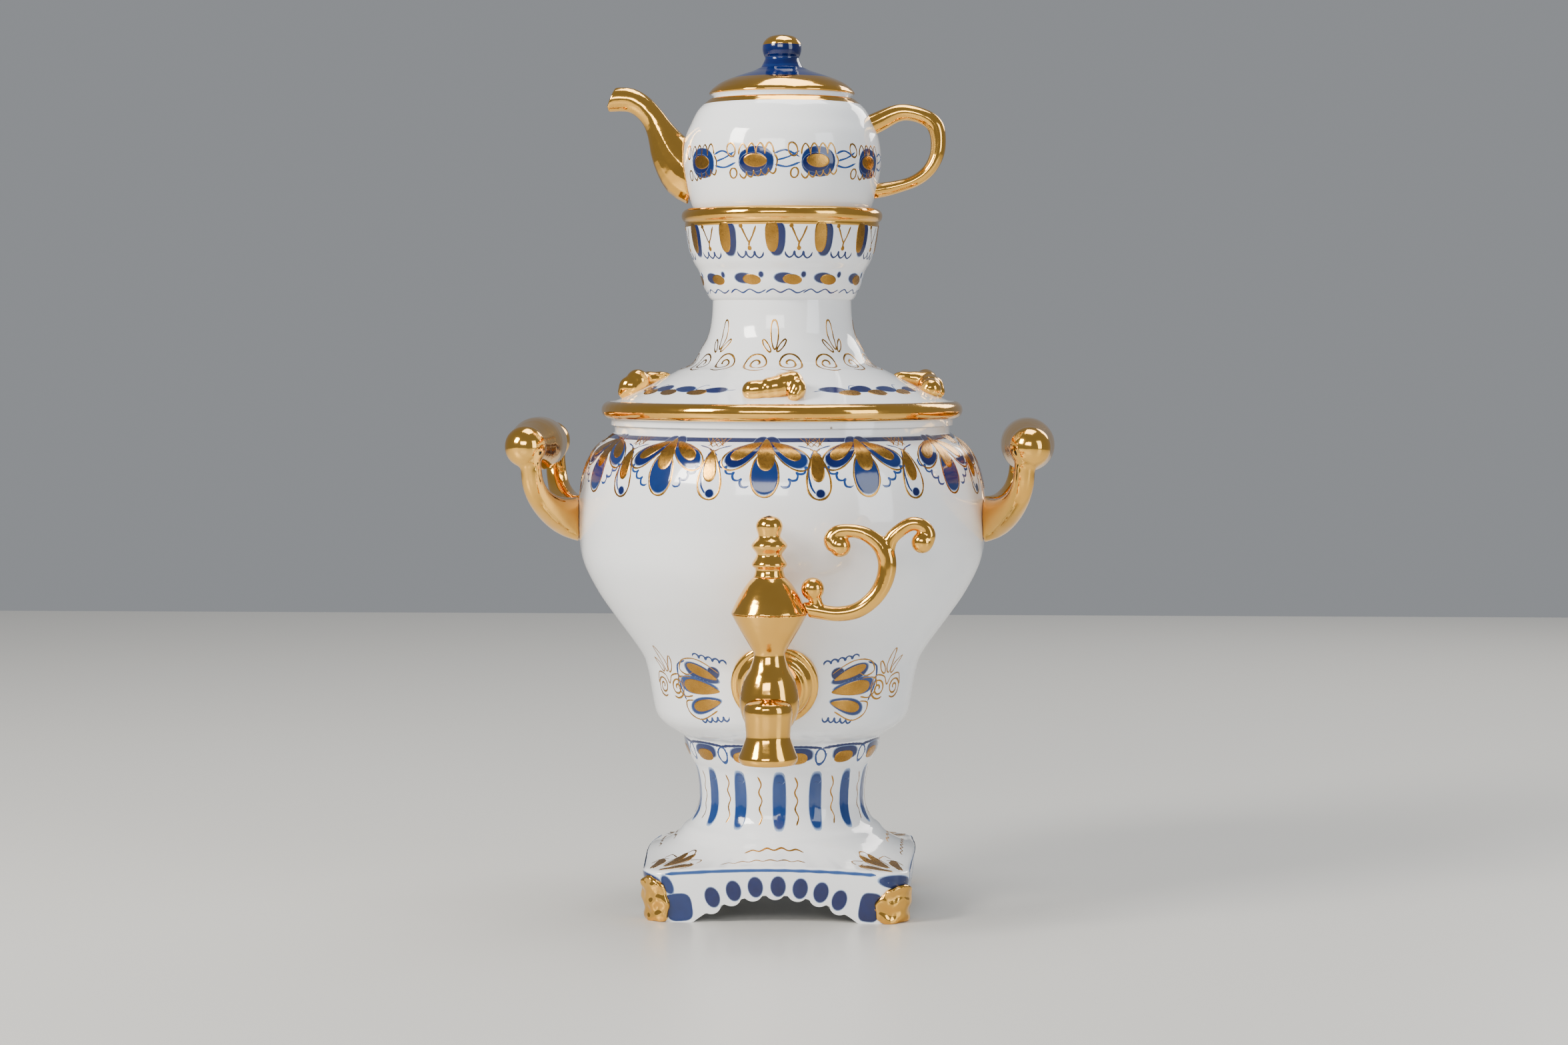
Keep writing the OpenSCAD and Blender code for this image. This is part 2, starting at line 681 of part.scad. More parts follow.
// Outside of the teapot as a full solid, for what is luted onto it
module pot_outside() {
  translate([0, 0, pot_z]) rotate_extrude() polygon(concat([[0, 0]], pot_line, [[0, pot_h]]));
}

module teapot_body() {
  inside = beside(pot_line, pot_wall);
  floor_h = 4 + pot_wall;
  foot_in_r = pot_foot_r - pot_wall;
  color(white) difference() {
    translate([0, 0, pot_z]) rotate_extrude() polygon(concat(
      pot_line, [[pot_mouth_r, pot_h], [pot_mouth_r, pot_h - 1.2]],
      backwards([for (p = inside) if (p[1] > floor_h + 1 && p[1] < pot_h - 2) p]),
      [[0, floor_h], [0, 4], [foot_in_r, 4], [foot_in_r, 0]]
    ));
    for (k = [0 : 6]) {
      out = k < 1 ? 0 : 4.2;
      translate([-pot_r * 0.7, out * cos(60 * k), pot_z + pot_wide_h + out * sin(60 * k)])
        rotate([0, -90, 0]) cylinder(r = strainer_r, h = pot_r);
    }
  }
}

// Line along the middle of the spout, from inside the teapot's wall to the tip
spout_line = smooth([
  [-pot_r + 7, 0, pot_z + pot_wide_h - 7, 14.4, 10.8],
  [-pot_r + 1.2, 0, pot_z + pot_wide_h - 4.2, 13.4, 9.8],
  [-pot_r - 5.4, 0, pot_z + pot_wide_h + 3.2, 9.8, 7.8],
  [-pot_r - 10.2, 0, pot_z + pot_wide_h + 12.2, 6.4, 6],
  [-pot_r - 14, 0, pot_z + pot_wide_h + 18.6, 5.3, 5.3],
  [-pot_r - 19.4, 0, pot_z + pot_wide_h + 24, 5.3, 5.2],
  [-pot_r - 25.4, 0, pot_z + pot_wide_h + 26.4, 5.5, 5.2],
  [-pot_r - 34, 0, pot_z + pot_wide_h + 26, 5.3, 5.1]
]);
// Slant of the spout's mouth in degrees
mouth_slant = 22;

module teapot_spout() {
  last = len(spout_line) - 1;
  bore = [for (i = [0 : last])
    let (p = spout_line[i], thin = between(2.6, spout_line[last][3] - pour_r, i / last))
    [p[0], p[1], p[2], p[3] - thin, p[4] - thin]];
  tip = bore[last];
  color(gilt) difference() {
    bar(spout_line);
    pot_outside();
    bar(concat(bore, [tip + [-3, 0, 0, 0, 0]]));
    translate([-pot_r - 29, -pot_r / 2, pot_z + pot_wide_h + 35]) rotate([0, mouth_slant, 0])
      translate([-pot_r, 0, -pot_r]) cube(pot_r);
  }
}

module teapot_handle() {
  mid_z = pot_z + pot_wide_h;
  color(gilt) difference() {
    bar(smooth([
      [pot_r - 8, 0, mid_z + 13, 4.8, loop_r + 1.4], [pot_r - 1, 0, mid_z + 16, 4.6, loop_r + 0.6],
      [pot_r + 5.6, 0, mid_z + 19.6, 4, loop_r], [pot_r + 11.4, 0, mid_z + 20.5, 3.6, loop_r],
      [pot_r + 18.4, 0, mid_z + 18.6, 3.4, loop_r], [pot_r + 24.2, 0, mid_z + 15.2, 3.9, loop_r],
      [pot_r + 25.5, 0, mid_z + 8.6, 3.4, loop_r], [pot_r + 25.4, 0, mid_z + 2.8, 3.3, loop_r],
      [pot_r + 23.3, 0, mid_z - 2.9, 3, loop_r], [pot_r + 19.5, 0, mid_z - 7.6, 2.8, loop_r],
      [pot_r + 13.8, 0, mid_z - 11, 2.7, loop_r], [pot_r + 9, 0, mid_z - 12.3, 2.7, loop_r],
      [pot_r + 2, 0, mid_z - 14.2, 3.3, loop_r + 0.4], [pot_r - 9, 0, mid_z - 15.4, 3.5, loop_r + 1.2]
    ], 2));
    pot_outside();
  }
}

// Lid --------------------------------------------------------------------------------------------

knob_foot_r = knob_r + 0.8;
lid_line = smooth([
  [lid_r - 2.4, 0], [lid_r - 1.6, lid_h * 0.11], [lid_r, lid_h * 0.17], [lid_r - 0.4, lid_h * 0.25],
  [lid_r - 1.9, lid_h * 0.36], [lid_r - 4.9, lid_h * 0.51], [lid_r - 9.6, lid_h * 0.66],
  [between(knob_foot_r, lid_r, 0.37), lid_h * 0.78], [between(knob_foot_r, lid_r, 0.16), lid_h * 0.89],
  [knob_foot_r + 0.8, lid_h * 0.985]
]);

module teapot_lid() {
  ring_r = pot_mouth_r - lift_clearance;
  inside = beside(lid_line, lid_wall);
  color(cobalt) translate([0, 0, lid_z]) difference() {
    union() {
      rotate_extrude() polygon(concat(
        [[ring_r - lid_wall, 0]], lid_line,
        [[knob_foot_r, lid_h], [0, lid_h], [0, lid_h - lid_wall]],
        backwards([for (p = inside) if (p[1] > 1.5 && p[0] < ring_r - lid_wall) p])
      ));
      translate([0, 0, -lid_ring_h]) difference() {
        cylinder(r = ring_r, h = lid_ring_h + 0.5);
        translate([0, 0, -past]) cylinder(r = ring_r - lid_wall, h = lid_ring_h + 3 * past);
      }
    }
    translate([0, between(knob_foot_r, lid_r, 0.3), 0])
      cylinder(r = strainer_r, h = lid_h + past, $fn = 24);
  }
}

module lid_knob() {
  color(cobalt) translate([0, 0, lid_z + lid_h]) rotate_extrude() polygon(concat(
    [[0, 0]],
    smooth([
      [knob_foot_r, 0], [knob_r * 0.98, knob_h * 0.12], [knob_r * 0.87, knob_h * 0.28],
      [knob_r * 0.95, knob_h * 0.4], [knob_r, knob_h * 0.58], [knob_r * 0.93, knob_h * 0.77],
      [knob_r * 0.66, knob_h * 0.92], [knob_r * 0.3, knob_h * 0.98]
    ], 4),
    [[0, knob_h]]
  ));
}

// Drawing ----------------------------------------------------------------------------------------

pedestal();
paw(-90, narrow_paw_r, narrow_paw_h);  // paw_front_left
paw(0, wide_paw_r, wide_paw_h);  // paw_front_right
paw(180, wide_paw_r, wide_paw_h);  // paw_back_left
paw(90, narrow_paw_r, narrow_paw_h);  // paw_back_right
vessel();
tap_rosette();
tap_barrel();
tap_spout();
handle_left();
handle_right();
tap_plug();
tap_finial();
tap_scroll();
crown_skirt();
crown_gallery();
lug(0);  // lug_front
lug(180);  // lug_back
lug(-90);  // lug_left
lug(90);  // lug_right
teapot_body();
teapot_spout();
teapot_handle();
teapot_lid();
lid_knob();
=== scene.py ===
import math
import bpy
import bmesh
import numpy as np
from mathutils import Matrix, Vector


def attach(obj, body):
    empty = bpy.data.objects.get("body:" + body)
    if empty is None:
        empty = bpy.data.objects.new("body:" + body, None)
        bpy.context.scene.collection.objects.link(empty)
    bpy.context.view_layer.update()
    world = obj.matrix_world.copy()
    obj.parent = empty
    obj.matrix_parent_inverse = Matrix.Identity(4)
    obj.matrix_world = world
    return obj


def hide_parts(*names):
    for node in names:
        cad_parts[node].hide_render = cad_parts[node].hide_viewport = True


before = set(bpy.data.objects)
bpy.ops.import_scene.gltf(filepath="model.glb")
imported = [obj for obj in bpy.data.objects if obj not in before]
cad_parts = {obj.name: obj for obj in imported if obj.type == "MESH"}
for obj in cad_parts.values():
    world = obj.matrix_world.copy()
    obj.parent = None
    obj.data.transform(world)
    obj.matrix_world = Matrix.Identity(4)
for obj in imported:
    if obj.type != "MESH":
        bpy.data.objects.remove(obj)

for spare in ("Cube", "Light", "Camera"):   # leftovers that aren't part of the set
    if spare in bpy.data.objects:
        bpy.data.objects.remove(bpy.data.objects[spare])
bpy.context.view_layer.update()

mm = 0.001
roundSides = 240
print("frame loaded")


def smoothLine(points, steps=10):
    # a smooth line through all points, the same rule as the solids follow
    p = np.array(points, float)
    last = len(p) - 1
    out = []
    for i in range(last):
        a, b, c, d = p[max(i - 1, 0)], p[i], p[i + 1], p[min(i + 2, last)]
        for k in range(steps):
            t = k / steps
            out.append(0.5 * (2 * b + (c - a) * t + (2 * a - 5 * b + 4 * c - d) * t * t
                              + (3 * b - a - 3 * c + d) * t ** 3))
    out.append(p[last])
    return np.array(out)


def between(a, b, share):
    return a + (b - a) * share


def beside(line, distance):
    # the same line, moved to its left
    along = np.roll(line, -1, 0) - np.roll(line, 1, 0)
    along[0] = line[1] - line[0]
    along[-1] = line[-1] - line[-2]
    along /= np.linalg.norm(along, axis=1)[:, None]
    return line + distance * np.stack([-along[:, 1], along[:, 0]], 1)


def arcLine(centre, radius, start, end, steps=16):
    a = np.radians(np.linspace(start, end, steps + 1))
    return np.array(centre) + radius * np.stack([np.cos(a), np.sin(a)], 1)


def newObject(name, mesh):
    obj = bpy.data.objects.new(name, mesh)
    bpy.context.scene.collection.objects.link(obj)
    return obj


def applied(obj):
    # bakes the modifiers into a plain mesh
    graph = bpy.context.evaluated_depsgraph_get()
    graph.update()
    made = bpy.data.meshes.new_from_object(obj.evaluated_get(graph))
    obj.modifiers.clear()
    obj.data = made
    return obj


def smoothShade(mesh, angle=40):
    mesh.shade_smooth()
    mesh.set_sharp_from_angle(angle=math.radians(angle))


def gridMesh(name, rings, closedRows=True):
    # rings[row, step] are points in mm; steps always close round the axis
    rows, steps = rings.shape[:2]
    verts = (rings.reshape(-1, 3) * mm).tolist()
    faces = []
    for i in range(rows if closedRows else rows - 1):
        j = (i + 1) % rows
        for k in range(steps):
            n = (k + 1) % steps
            faces.append((i * steps + k, i * steps + n, j * steps + n, j * steps + k))
    mesh = bpy.data.meshes.new(name)
    mesh.from_pydata(verts, [], faces)
    work = bmesh.new()
    work.from_mesh(mesh)
    bmesh.ops.remove_doubles(work, verts=work.verts, dist=1e-6)
    bmesh.ops.dissolve_degenerate(work, edges=work.edges, dist=1e-7)
    loose = [e for e in work.edges if not e.link_faces]
    bmesh.ops.delete(work, geom=loose, context="EDGES")
    bmesh.ops.recalc_face_normals(work, faces=work.faces)
    work.to_mesh(mesh)
    work.free()
    return mesh


def turned(name, loop, sides=roundSides):
    # a turned shape from a closed loop of (radius, height)
    loop = np.array(loop, float)
    keep = np.ones(len(loop), bool)
    keep[1:] = np.linalg.norm(np.diff(loop, axis=0), axis=1) > 1e-4
    loop = loop[keep]
    a = np.linspace(0, 2 * math.pi, sides, endpoint=False)
    rings = np.zeros((len(loop), sides, 3))
    rings[..., 0] = loop[:, 0:1] * np.sin(a)
    rings[..., 1] = -loop[:, 0:1] * np.cos(a)
    rings[..., 2] = loop[:, 1:2]
    mesh = gridMesh(name, rings)
    smoothShade(mesh)
    return newObject(name, mesh)


def nodeOf(tree, kind, **inputs):
    node = tree.nodes.new(kind)
    if kind == "ShaderNodeMix":
        node.data_type = "RGBA"
    for key, value in inputs.items():
        node.inputs[key.replace("_", " ")].default_value = value
    return node


def mathOf(tree, operation, second=0.5):
    node = tree.nodes.new("ShaderNodeMath")
    node.operation = operation
    node.inputs[1].default_value = second
    return node


def wiring(tree):
    # ties one node's output to another's input
    def tie(source, output, target, socket):
        tree.links.new(source.outputs[output], target.inputs[socket])
    return tie


def handTouchGroup():
    # slow drift of tone and gloss, as hand glazing and gilding leave it
    group = bpy.data.node_groups.new("handTouch", "ShaderNodeTree")
    face = group.interface
    face.new_socket("Colour", in_out="INPUT", socket_type="NodeSocketColor")
    face.new_socket("Second colour", in_out="INPUT", socket_type="NodeSocketColor")
    for name, value in (("Drift size", 60.0), ("Drift amount", 0.3), ("Roughness low", 0.05),
                        ("Roughness high", 0.1), ("Ripple size", 120.0)):
        face.new_socket(name, in_out="INPUT", socket_type="NodeSocketFloat").default_value = value
    face.new_socket("Colour", in_out="OUTPUT", socket_type="NodeSocketColor")
    face.new_socket("Roughness", in_out="OUTPUT", socket_type="NodeSocketFloat")
    face.new_socket("Height", in_out="OUTPUT", socket_type="NodeSocketFloat")
    tie = wiring(group)
    given = group.nodes.new("NodeGroupInput")
    result = group.nodes.new("NodeGroupOutput")
    place = group.nodes.new("ShaderNodeTexCoord")
    drift = nodeOf(group, "ShaderNodeTexNoise", Detail=3.0)
    ripple = nodeOf(group, "ShaderNodeTexNoise", Detail=2.0)
    tie(place, "Object", drift, "Vector")
    tie(place, "Object", ripple, "Vector")
    tie(given, "Drift size", drift, "Scale")
    tie(given, "Ripple size", ripple, "Scale")
    amount = mathOf(group, "MULTIPLY")
    tie(drift, "Fac", amount, 0)
    tie(given, "Drift amount", amount, 1)
    blend = nodeOf(group, "ShaderNodeMix")
    tie(amount, 0, blend, "Factor")
    tie(given, 0, blend, "A")
    tie(given, 1, blend, "B")
    rough = group.nodes.new("ShaderNodeMapRange")
    tie(ripple, "Fac", rough, "Value")
    tie(given, "Roughness low", rough, "To Min")
    tie(given, "Roughness high", rough, "To Max")
    tie(blend, "Result", result, 0)
    tie(rough, "Result", result, "Roughness")
    tie(ripple, "Fac", result, "Height")
    return group


handTouch = handTouchGroup()


def touched(name, look):
    # a material with the shared hand-made drift; returns its tree, shader and drift node
    material = bpy.data.materials.new(name)
    material.use_nodes = True
    tree = material.node_tree
    shader = tree.nodes["Principled BSDF"]
    shader.inputs["Metallic"].default_value = look["metallic"]
    shader.inputs["Coat Weight"].default_value = look.get("coat", 0.0)
    shader.inputs["Coat Roughness"].default_value = 0.03
    tie = wiring(tree)
    drift = tree.nodes.new("ShaderNodeGroup")
    drift.node_tree = handTouch
    drift.inputs[0].default_value = look["colour"] + (1,)
    drift.inputs[1].default_value = look["second"] + (1,)
    drift.inputs["Drift size"].default_value = look["driftSize"]
    drift.inputs["Drift amount"].default_value = look["drift"]
    drift.inputs["Roughness low"].default_value = look["rough"][0]
    drift.inputs["Roughness high"].default_value = look["rough"][1]
    drift.inputs["Ripple size"].default_value = look["rippleSize"]
    tie(drift, "Colour", shader, "Base Color")
    tie(drift, "Roughness", shader, "Roughness")
    bump = nodeOf(tree, "ShaderNodeBump", Strength=look["bump"], Distance=look["bumpDepth"])
    tie(drift, "Height", bump, "Height")
    tie(bump, "Normal", shader, "Normal")
    return material, tree, shader, drift


looks = {
    "porcelain": {"colour": (0.86, 0.89, 0.93), "second": (0.95, 0.95, 0.94), "metallic": 0.0, "coat": 0.6,
                  "driftSize": 14, "drift": 0.9, "rough": (0.07, 0.14), "rippleSize": 70,
                  "bump": 0.12, "bumpDepth": 0.0006},
    "gilt": {"colour": (0.93, 0.53, 0.115), "second": (0.70, 0.33, 0.04), "metallic": 1.0,
             "driftSize": 45, "drift": 0.7, "rough": (0.05, 0.14), "rippleSize": 110,
             "bump": 0.22, "bumpDepth": 0.0010},
    "goldPaint": {"colour": (0.60, 0.31, 0.06), "second": (0.20, 0.09, 0.015), "metallic": 1.0,
                  "driftSize": 160, "drift": 0.8, "rough": (0.20, 0.36), "rippleSize": 700,
                  "bump": 0.25, "bumpDepth": 0.0002},
    "cobalt": {"colour": (0.0008, 0.0035, 0.042), "second": (0.0012, 0.013, 0.12), "metallic": 0.0,
               "coat": 0.25,
               "driftSize": 240, "drift": 0.75, "rough": (0.08, 0.16), "rippleSize": 90,
               "bump": 0.1, "bumpDepth": 0.0004},
}


def porcelainGlaze():
    # white glaze with a few brown firing specks
    material, tree, shader, drift = touched("porcelainGlaze", looks["porcelain"])
    place = tree.nodes.new("ShaderNodeTexCoord")
    cells = nodeOf(tree, "ShaderNodeTexVoronoi", Scale=34.0)
    near = nodeOf(tree, "ShaderNodeMapRange", From_Min=0.012, From_Max=0.03, To_Min=1.0, To_Max=0.0)
    rare = mathOf(tree, "GREATER_THAN", 0.72)
    split = tree.nodes.new("ShaderNodeSeparateColor")
    both = mathOf(tree, "MULTIPLY")
    blend = nodeOf(tree, "ShaderNodeMix", B=(0.16, 0.09, 0.04, 1))
    tie = wiring(tree)
    tie(place, "Object", cells, "Vector")
    tie(cells, "Distance", near, "Value")
    tie(cells, "Color", split, "Color")
    tie(split, "Red", rare, 0)
    tie(near, "Result", both, 0)
    tie(rare, 0, both, 1)
    tie(both, 0, blend, "Factor")
    tie(drift, "Colour", blend, "A")
    tie(blend, "Result", shader, "Base Color")
    return material


porcelain = porcelainGlaze()
gilt = touched("giltLustre", looks["gilt"])[0]
goldPaint = touched("goldBrush", looks["goldPaint"])[0]


def cobaltBrush():
    # brushed cobalt: soft into the white at its rim, and paler where the brush was dry
    material, tree, shader, drift = touched("cobaltBrush", looks["cobalt"])
    tie = wiring(tree)
    edge = tree.nodes.new("ShaderNodeAttribute")
    edge.attribute_name = "edge"
    tone = tree.nodes.new("ShaderNodeAttribute")
    tone.attribute_name = "tone"
    soft = nodeOf(tree, "ShaderNodeMapRange", From_Min=0.0, From_Max=0.45)
    soft.interpolation_type = "SMOOTHSTEP"
    pale = nodeOf(tree, "ShaderNodeMix", B=(0.025, 0.115, 0.40, 1))
    rim = nodeOf(tree, "ShaderNodeMix", A=(0.42, 0.56, 0.80, 1))
    tie(edge, "Fac", soft, "Value")
    tie(tone, "Fac", pale, "Factor")
    tie(drift, "Colour", pale, "A")
    tie(soft, "Result", rim, "Factor")
    tie(pale, "Result", rim, "B")
    tie(rim, "Result", shader, "Base Color")
    return material


def cobaltGlaze():
    # the lid's cobalt, laid on with a wide brush on the wheel
    material, tree, shader, drift = touched("cobaltGlaze", looks["cobalt"])
    tie = wiring(tree)
    place = tree.nodes.new("ShaderNodeTexCoord")
    rings = nodeOf(tree, "ShaderNodeTexWave", Scale=190.0, Distortion=1.4, Detail=3.0)
    rings.wave_type = "RINGS"
    rings.rings_direction = "Z"
    fade = nodeOf(tree, "ShaderNodeMapRange", From_Min=0.45, From_Max=1.0, To_Max=0.55)
    blend = nodeOf(tree, "ShaderNodeMix", B=(0.004, 0.022, 0.12, 1))
    tie(place, "Object", rings, "Vector")
    tie(rings, "Fac", fade, "Value")
    tie(fade, "Result", blend, "Factor")
    tie(drift, "Colour", blend, "A")
    tie(blend, "Result", shader, "Base Color")
    return material


cobaltPaint = cobaltBrush()
lidGlaze = cobaltGlaze()
print("materials made")


foot = {"topWidth": 117.5, "floorWidth": 112.5, "cornerRadius": 11, "bulge": 1.3, "plateHeight": 22.2,
        "height": 76.2, "waist": 37.2, "collar": 44.3, "wall": 4.5, "archWidth": 72, "archHeight": 12.5,
        "lobes": 7, "edgeSoftness": 5, "roofEnd": 48.0, "stemStart": 26, "hollowRim": 16.0, "sides": 600}


def flareAt(share):
    return between(foot["waist"], foot["topWidth"] / 2, share)


def stemHeight(share):
    return between(foot["plateHeight"], foot["height"], share)


def collarAt(share):
    return between(foot["waist"], foot["collar"], share)


stemLine = smoothLine([
    [foot["topWidth"] * 0.72, foot["plateHeight"] - 0.2], [flareAt(1.57), foot["plateHeight"] + 0.8],
    [flareAt(1), foot["plateHeight"] + 3.1], [flareAt(0.6), stemHeight(0.13)],
    [flareAt(0.43), stemHeight(0.187)],
    [flareAt(0.32), stemHeight(0.239)], [flareAt(0.18), stemHeight(0.287)],
    [flareAt(0.04), stemHeight(0.383)],
    [foot["waist"], stemHeight(0.52)], [collarAt(0.2), stemHeight(0.717)],
    [collarAt(0.55), stemHeight(0.811)],
    [collarAt(0.89), stemHeight(0.907)], [foot["collar"], foot["height"]]])
roofPart = stemLine[stemLine[:, 1] < 50]


def roofHeight(radius):
    return np.interp(radius, roofPart[::-1, 0], roofPart[::-1, 1])


def planRadius(angles, inset=0.0):
    # distance from the axis to the foot's outline on the floor, at each angle from the front
    half = foot["floorWidth"] / 2
    straight = half - foot["cornerRadius"]
    share = np.linspace(-1, 1, 60)
    side = np.stack([share * straight, -half + inset - foot["bulge"] * (1 + np.cos(np.pi * share)) / 2], 1)
    corner = arcLine([straight, -straight], foot["cornerRadius"] - inset, -90, 0, 24)
    quarter = np.concatenate([side, corner[1:-1]])
    outline = []
    for turn in range(4):
        c, s = math.cos(turn * math.pi / 2), math.sin(turn * math.pi / 2)
        outline.append(quarter @ np.array([[c, s], [-s, c]]))
    outline = np.concatenate(outline)
    around = np.arctan2(outline[:, 0], -outline[:, 1])
    order = np.argsort(around)
    return np.interp(angles, around[order], np.hypot(*outline[order].T), period=2 * math.pi)


def plateScale(z):
    return 1 + (foot["topWidth"] / foot["floorWidth"] - 1) * z / foot["plateHeight"]


def archEdge(x):
    # height of the arch's scalloped edge at a place along the side
    h, w = foot["archHeight"], foot["archWidth"]
    radius = (w * w / 4 + h * h) / (2 * h)
    lobe = w / (2 * foot["lobes"] + 2)
    z = h - radius + np.sqrt(np.maximum(radius ** 2 - x ** 2, 0))
    for k in range(foot["lobes"]):
        a = (k - (foot["lobes"] - 1) / 2) * 2.05 * lobe / radius
        out = radius + lobe * 0.55
        cx, cz = out * math.sin(a), h - radius + out * math.cos(a)
        drop = cz - np.sqrt(np.maximum(lobe ** 2 - (x - cx) ** 2, 0))
        z = np.where(np.abs(x - cx) < lobe, np.minimum(z, drop), z)
    return np.where(np.abs(x) < w / 2, np.maximum(z, 0), 0)


def buildPedestal():
    steps = foot["sides"]
    angles = np.linspace(-math.pi, math.pi, steps, endpoint=False)
    fold = (angles + math.pi / 4) % (math.pi / 2) - math.pi / 4
    rows = []
    outer = planRadius(angles)
    edge = np.full(steps, foot["plateHeight"])
    for _ in range(20):   # settles the plate's edge where its leaning side meets the roof
        edge = 0.5 * edge + 0.5 * roofHeight(outer * plateScale(edge))
    bottom = archEdge(outer * np.sin(fold))
    for t in np.linspace(0, 1, 22):
        z = between(bottom, edge, t)
        rows.append((outer * plateScale(z), z))
    top = outer * plateScale(edge)
    for t in np.linspace(0, 1, 26)[1:]:
        r = between(top, foot["roofEnd"], t)
        rows.append((r, roofHeight(r)))
    radii = np.array([r for r, z in rows])
    heights = np.array([z for r, z in rows])
    edgeRows, rowBelow, rowAbove = slice(14, 34), slice(13, 33), slice(15, 35)
    for _ in range(foot["edgeSoftness"]):   # softens the plate's top edge
        for values in (radii, heights):
            mean = (values[rowBelow] + values[rowAbove]) / 2
            values[edgeRows] = between(values[edgeRows], mean, 0.6)
    rows = list(zip(radii, heights))
    stem = stemLine[(stemLine[:, 0] < foot["roofEnd"] - 0.1) & (stemLine[:, 1] > foot["stemStart"])]
    rows += [(np.full(steps, r), np.full(steps, z)) for r, z in stem[::2]]
    rows.append((np.full(steps, foot["collar"]), np.full(steps, foot["height"])))
    inside = beside(stem, foot["wall"])
    inside = inside[(inside[:, 1] < foot["height"]) & (inside[:, 1] > foot["stemStart"] - 2)]
    rows.append((np.full(steps, foot["collar"] - foot["wall"]), np.full(steps, foot["height"])))
    rows += [(np.full(steps, r), np.full(steps, z)) for r, z in inside[::-3]]
    inner = planRadius(angles, foot["wall"])
    for t in np.linspace(0, 1, 10)[1:]:
        r = between(inside[0][0], inner, t)
        rows.append((r, np.maximum(roofHeight(r) - foot["wall"], foot["hollowRim"])))
    low = archEdge(inner * np.sin(fold))
    for t in np.linspace(0, 1, 8)[1:]:
        rows.append((inner, between(np.full(steps, foot["hollowRim"]), low, t)))
    rings = np.zeros((len(rows), steps, 3))
    for i, (r, z) in enumerate(rows):
        rings[i, :, 0], rings[i, :, 1], rings[i, :, 2] = r * np.sin(angles), -r * np.cos(angles), z
    mesh = gridMesh("pedestalShell", rings)
    smoothShade(mesh, 50)
    return newObject("pedestalShell", mesh)


vase = {"low": 76.2, "lip": 215.5, "belly": 91.4, "hip": 58, "lipRadius": 75, "wall": 4.5}


def vaseHeight(share):
    return between(vase["low"], vase["lip"], share)


hip, belly, lipR = vase["hip"], vase["belly"], vase["lipRadius"]
vaseLine = smoothLine([
    [foot["collar"], vase["low"]], [between(foot["collar"], hip, 0.6), vase["low"] + 5.1],
    [between(foot["collar"], hip, 0.88), vase["low"] + 9.6], [hip, vase["low"] + 15.8],
    [hip + 2.4, vaseHeight(0.211)], [hip + 5.6, vaseHeight(0.271)],
    [between(hip, belly, 0.51), vaseHeight(0.386)],
    [between(hip, belly, 0.735), vaseHeight(0.465)], [between(hip, belly, 0.925), vaseHeight(0.556)],
    [between(hip, belly, 0.99), vaseHeight(0.638)], [belly, vaseHeight(0.738)],
    [between(belly, lipR, 0.07), vaseHeight(0.82)], [between(belly, lipR, 0.24), vase["lip"] - 16],
    [between(belly, lipR, 0.5), vase["lip"] - 9.4], [lipR, vase["lip"] - 3.2]])


def buildVase():
    inside = beside(vaseLine, vase["wall"])
    inside = inside[inside[:, 1] > vase["low"] + vase["wall"] + 1]
    loop = np.concatenate([
        [[0, vase["low"]]], vaseLine, [[lipR, vase["lip"] - 0.5], [lipR - 0.5, vase["lip"]]],
        [[lipR - vase["wall"], vase["lip"]]], inside[::-1], [[0, vase["low"] + vase["wall"]]]])
    return turned("vaseShell", loop)


crown = {"lip": 215.5, "height": 55.5, "rim": 80.9, "bead": 3.8, "neck": 31, "skirt": 49, "wall": 4.2,
         "ringDepth": 8, "ringClearance": 0.8}
rim, bead, neck, skirt = crown["rim"], crown["bead"], crown["neck"], crown["skirt"]
skirtLine = smoothLine([
    [rim - 5.9, 2 * bead + 2.9], [between(skirt, rim - 5.9, 0.5), 2 * bead + 8.9],
    [skirt + 1, 2 * bead + 14.9],
    [between(neck, skirt, 0.83), 2 * bead + 17], [between(neck, skirt, 0.5), 2 * bead + 20],
    [between(neck, skirt, 0.29), crown["height"] * 0.61],
    [between(neck, skirt, 0.11), crown["height"] * 0.72],
    [neck + 0.4, crown["height"] * 0.86], [neck, crown["height"]]]) + [0, crown["lip"]]
beadLine = arcLine([rim - bead, crown["lip"] + 2.9 + bead], bead, -80, 90, 24)


def buildSkirt():
    lip = crown["lip"]
    ring = lipR - vase["wall"] - crown["ringClearance"]
    inside = beside(skirtLine, crown["wall"])
    seat = lipR + 1.6
    loop = np.concatenate([
        [[ring, lip - crown["ringDepth"]], [ring, lip], [seat, lip], [seat, lip + 2.9]], beadLine,
        skirtLine,
        [[neck - crown["wall"], lip + crown["height"]]], inside[::-1],
        [[ring - crown["wall"], inside[0][1] - 1.5], [ring - crown["wall"], lip - crown["ringDepth"]]]])
    return turned("skirtShell", loop)


cup = {"low": 271.0, "height": 40.8, "radius": 44.9, "floor": 13, "wall": 3.2, "vent": 10}
cupLine = smoothLine([
    [neck, 0], [neck + 1.6, 1.4], [between(neck, cup["radius"], 0.3), cup["height"] * 0.16],
    [between(neck, cup["radius"], 0.43), cup["height"] * 0.31],
    [between(neck, cup["radius"], 0.62), cup["height"] * 0.425],
    [between(neck, cup["radius"], 0.77), cup["height"] * 0.575],
    [cup["radius"] - 1.5, cup["height"] - 7]]) + [0, cup["low"]]
cupRim = arcLine([cup["radius"] - cup["wall"], cup["low"] + cup["height"] - cup["wall"]], cup["wall"], -60,
                 120, 18)


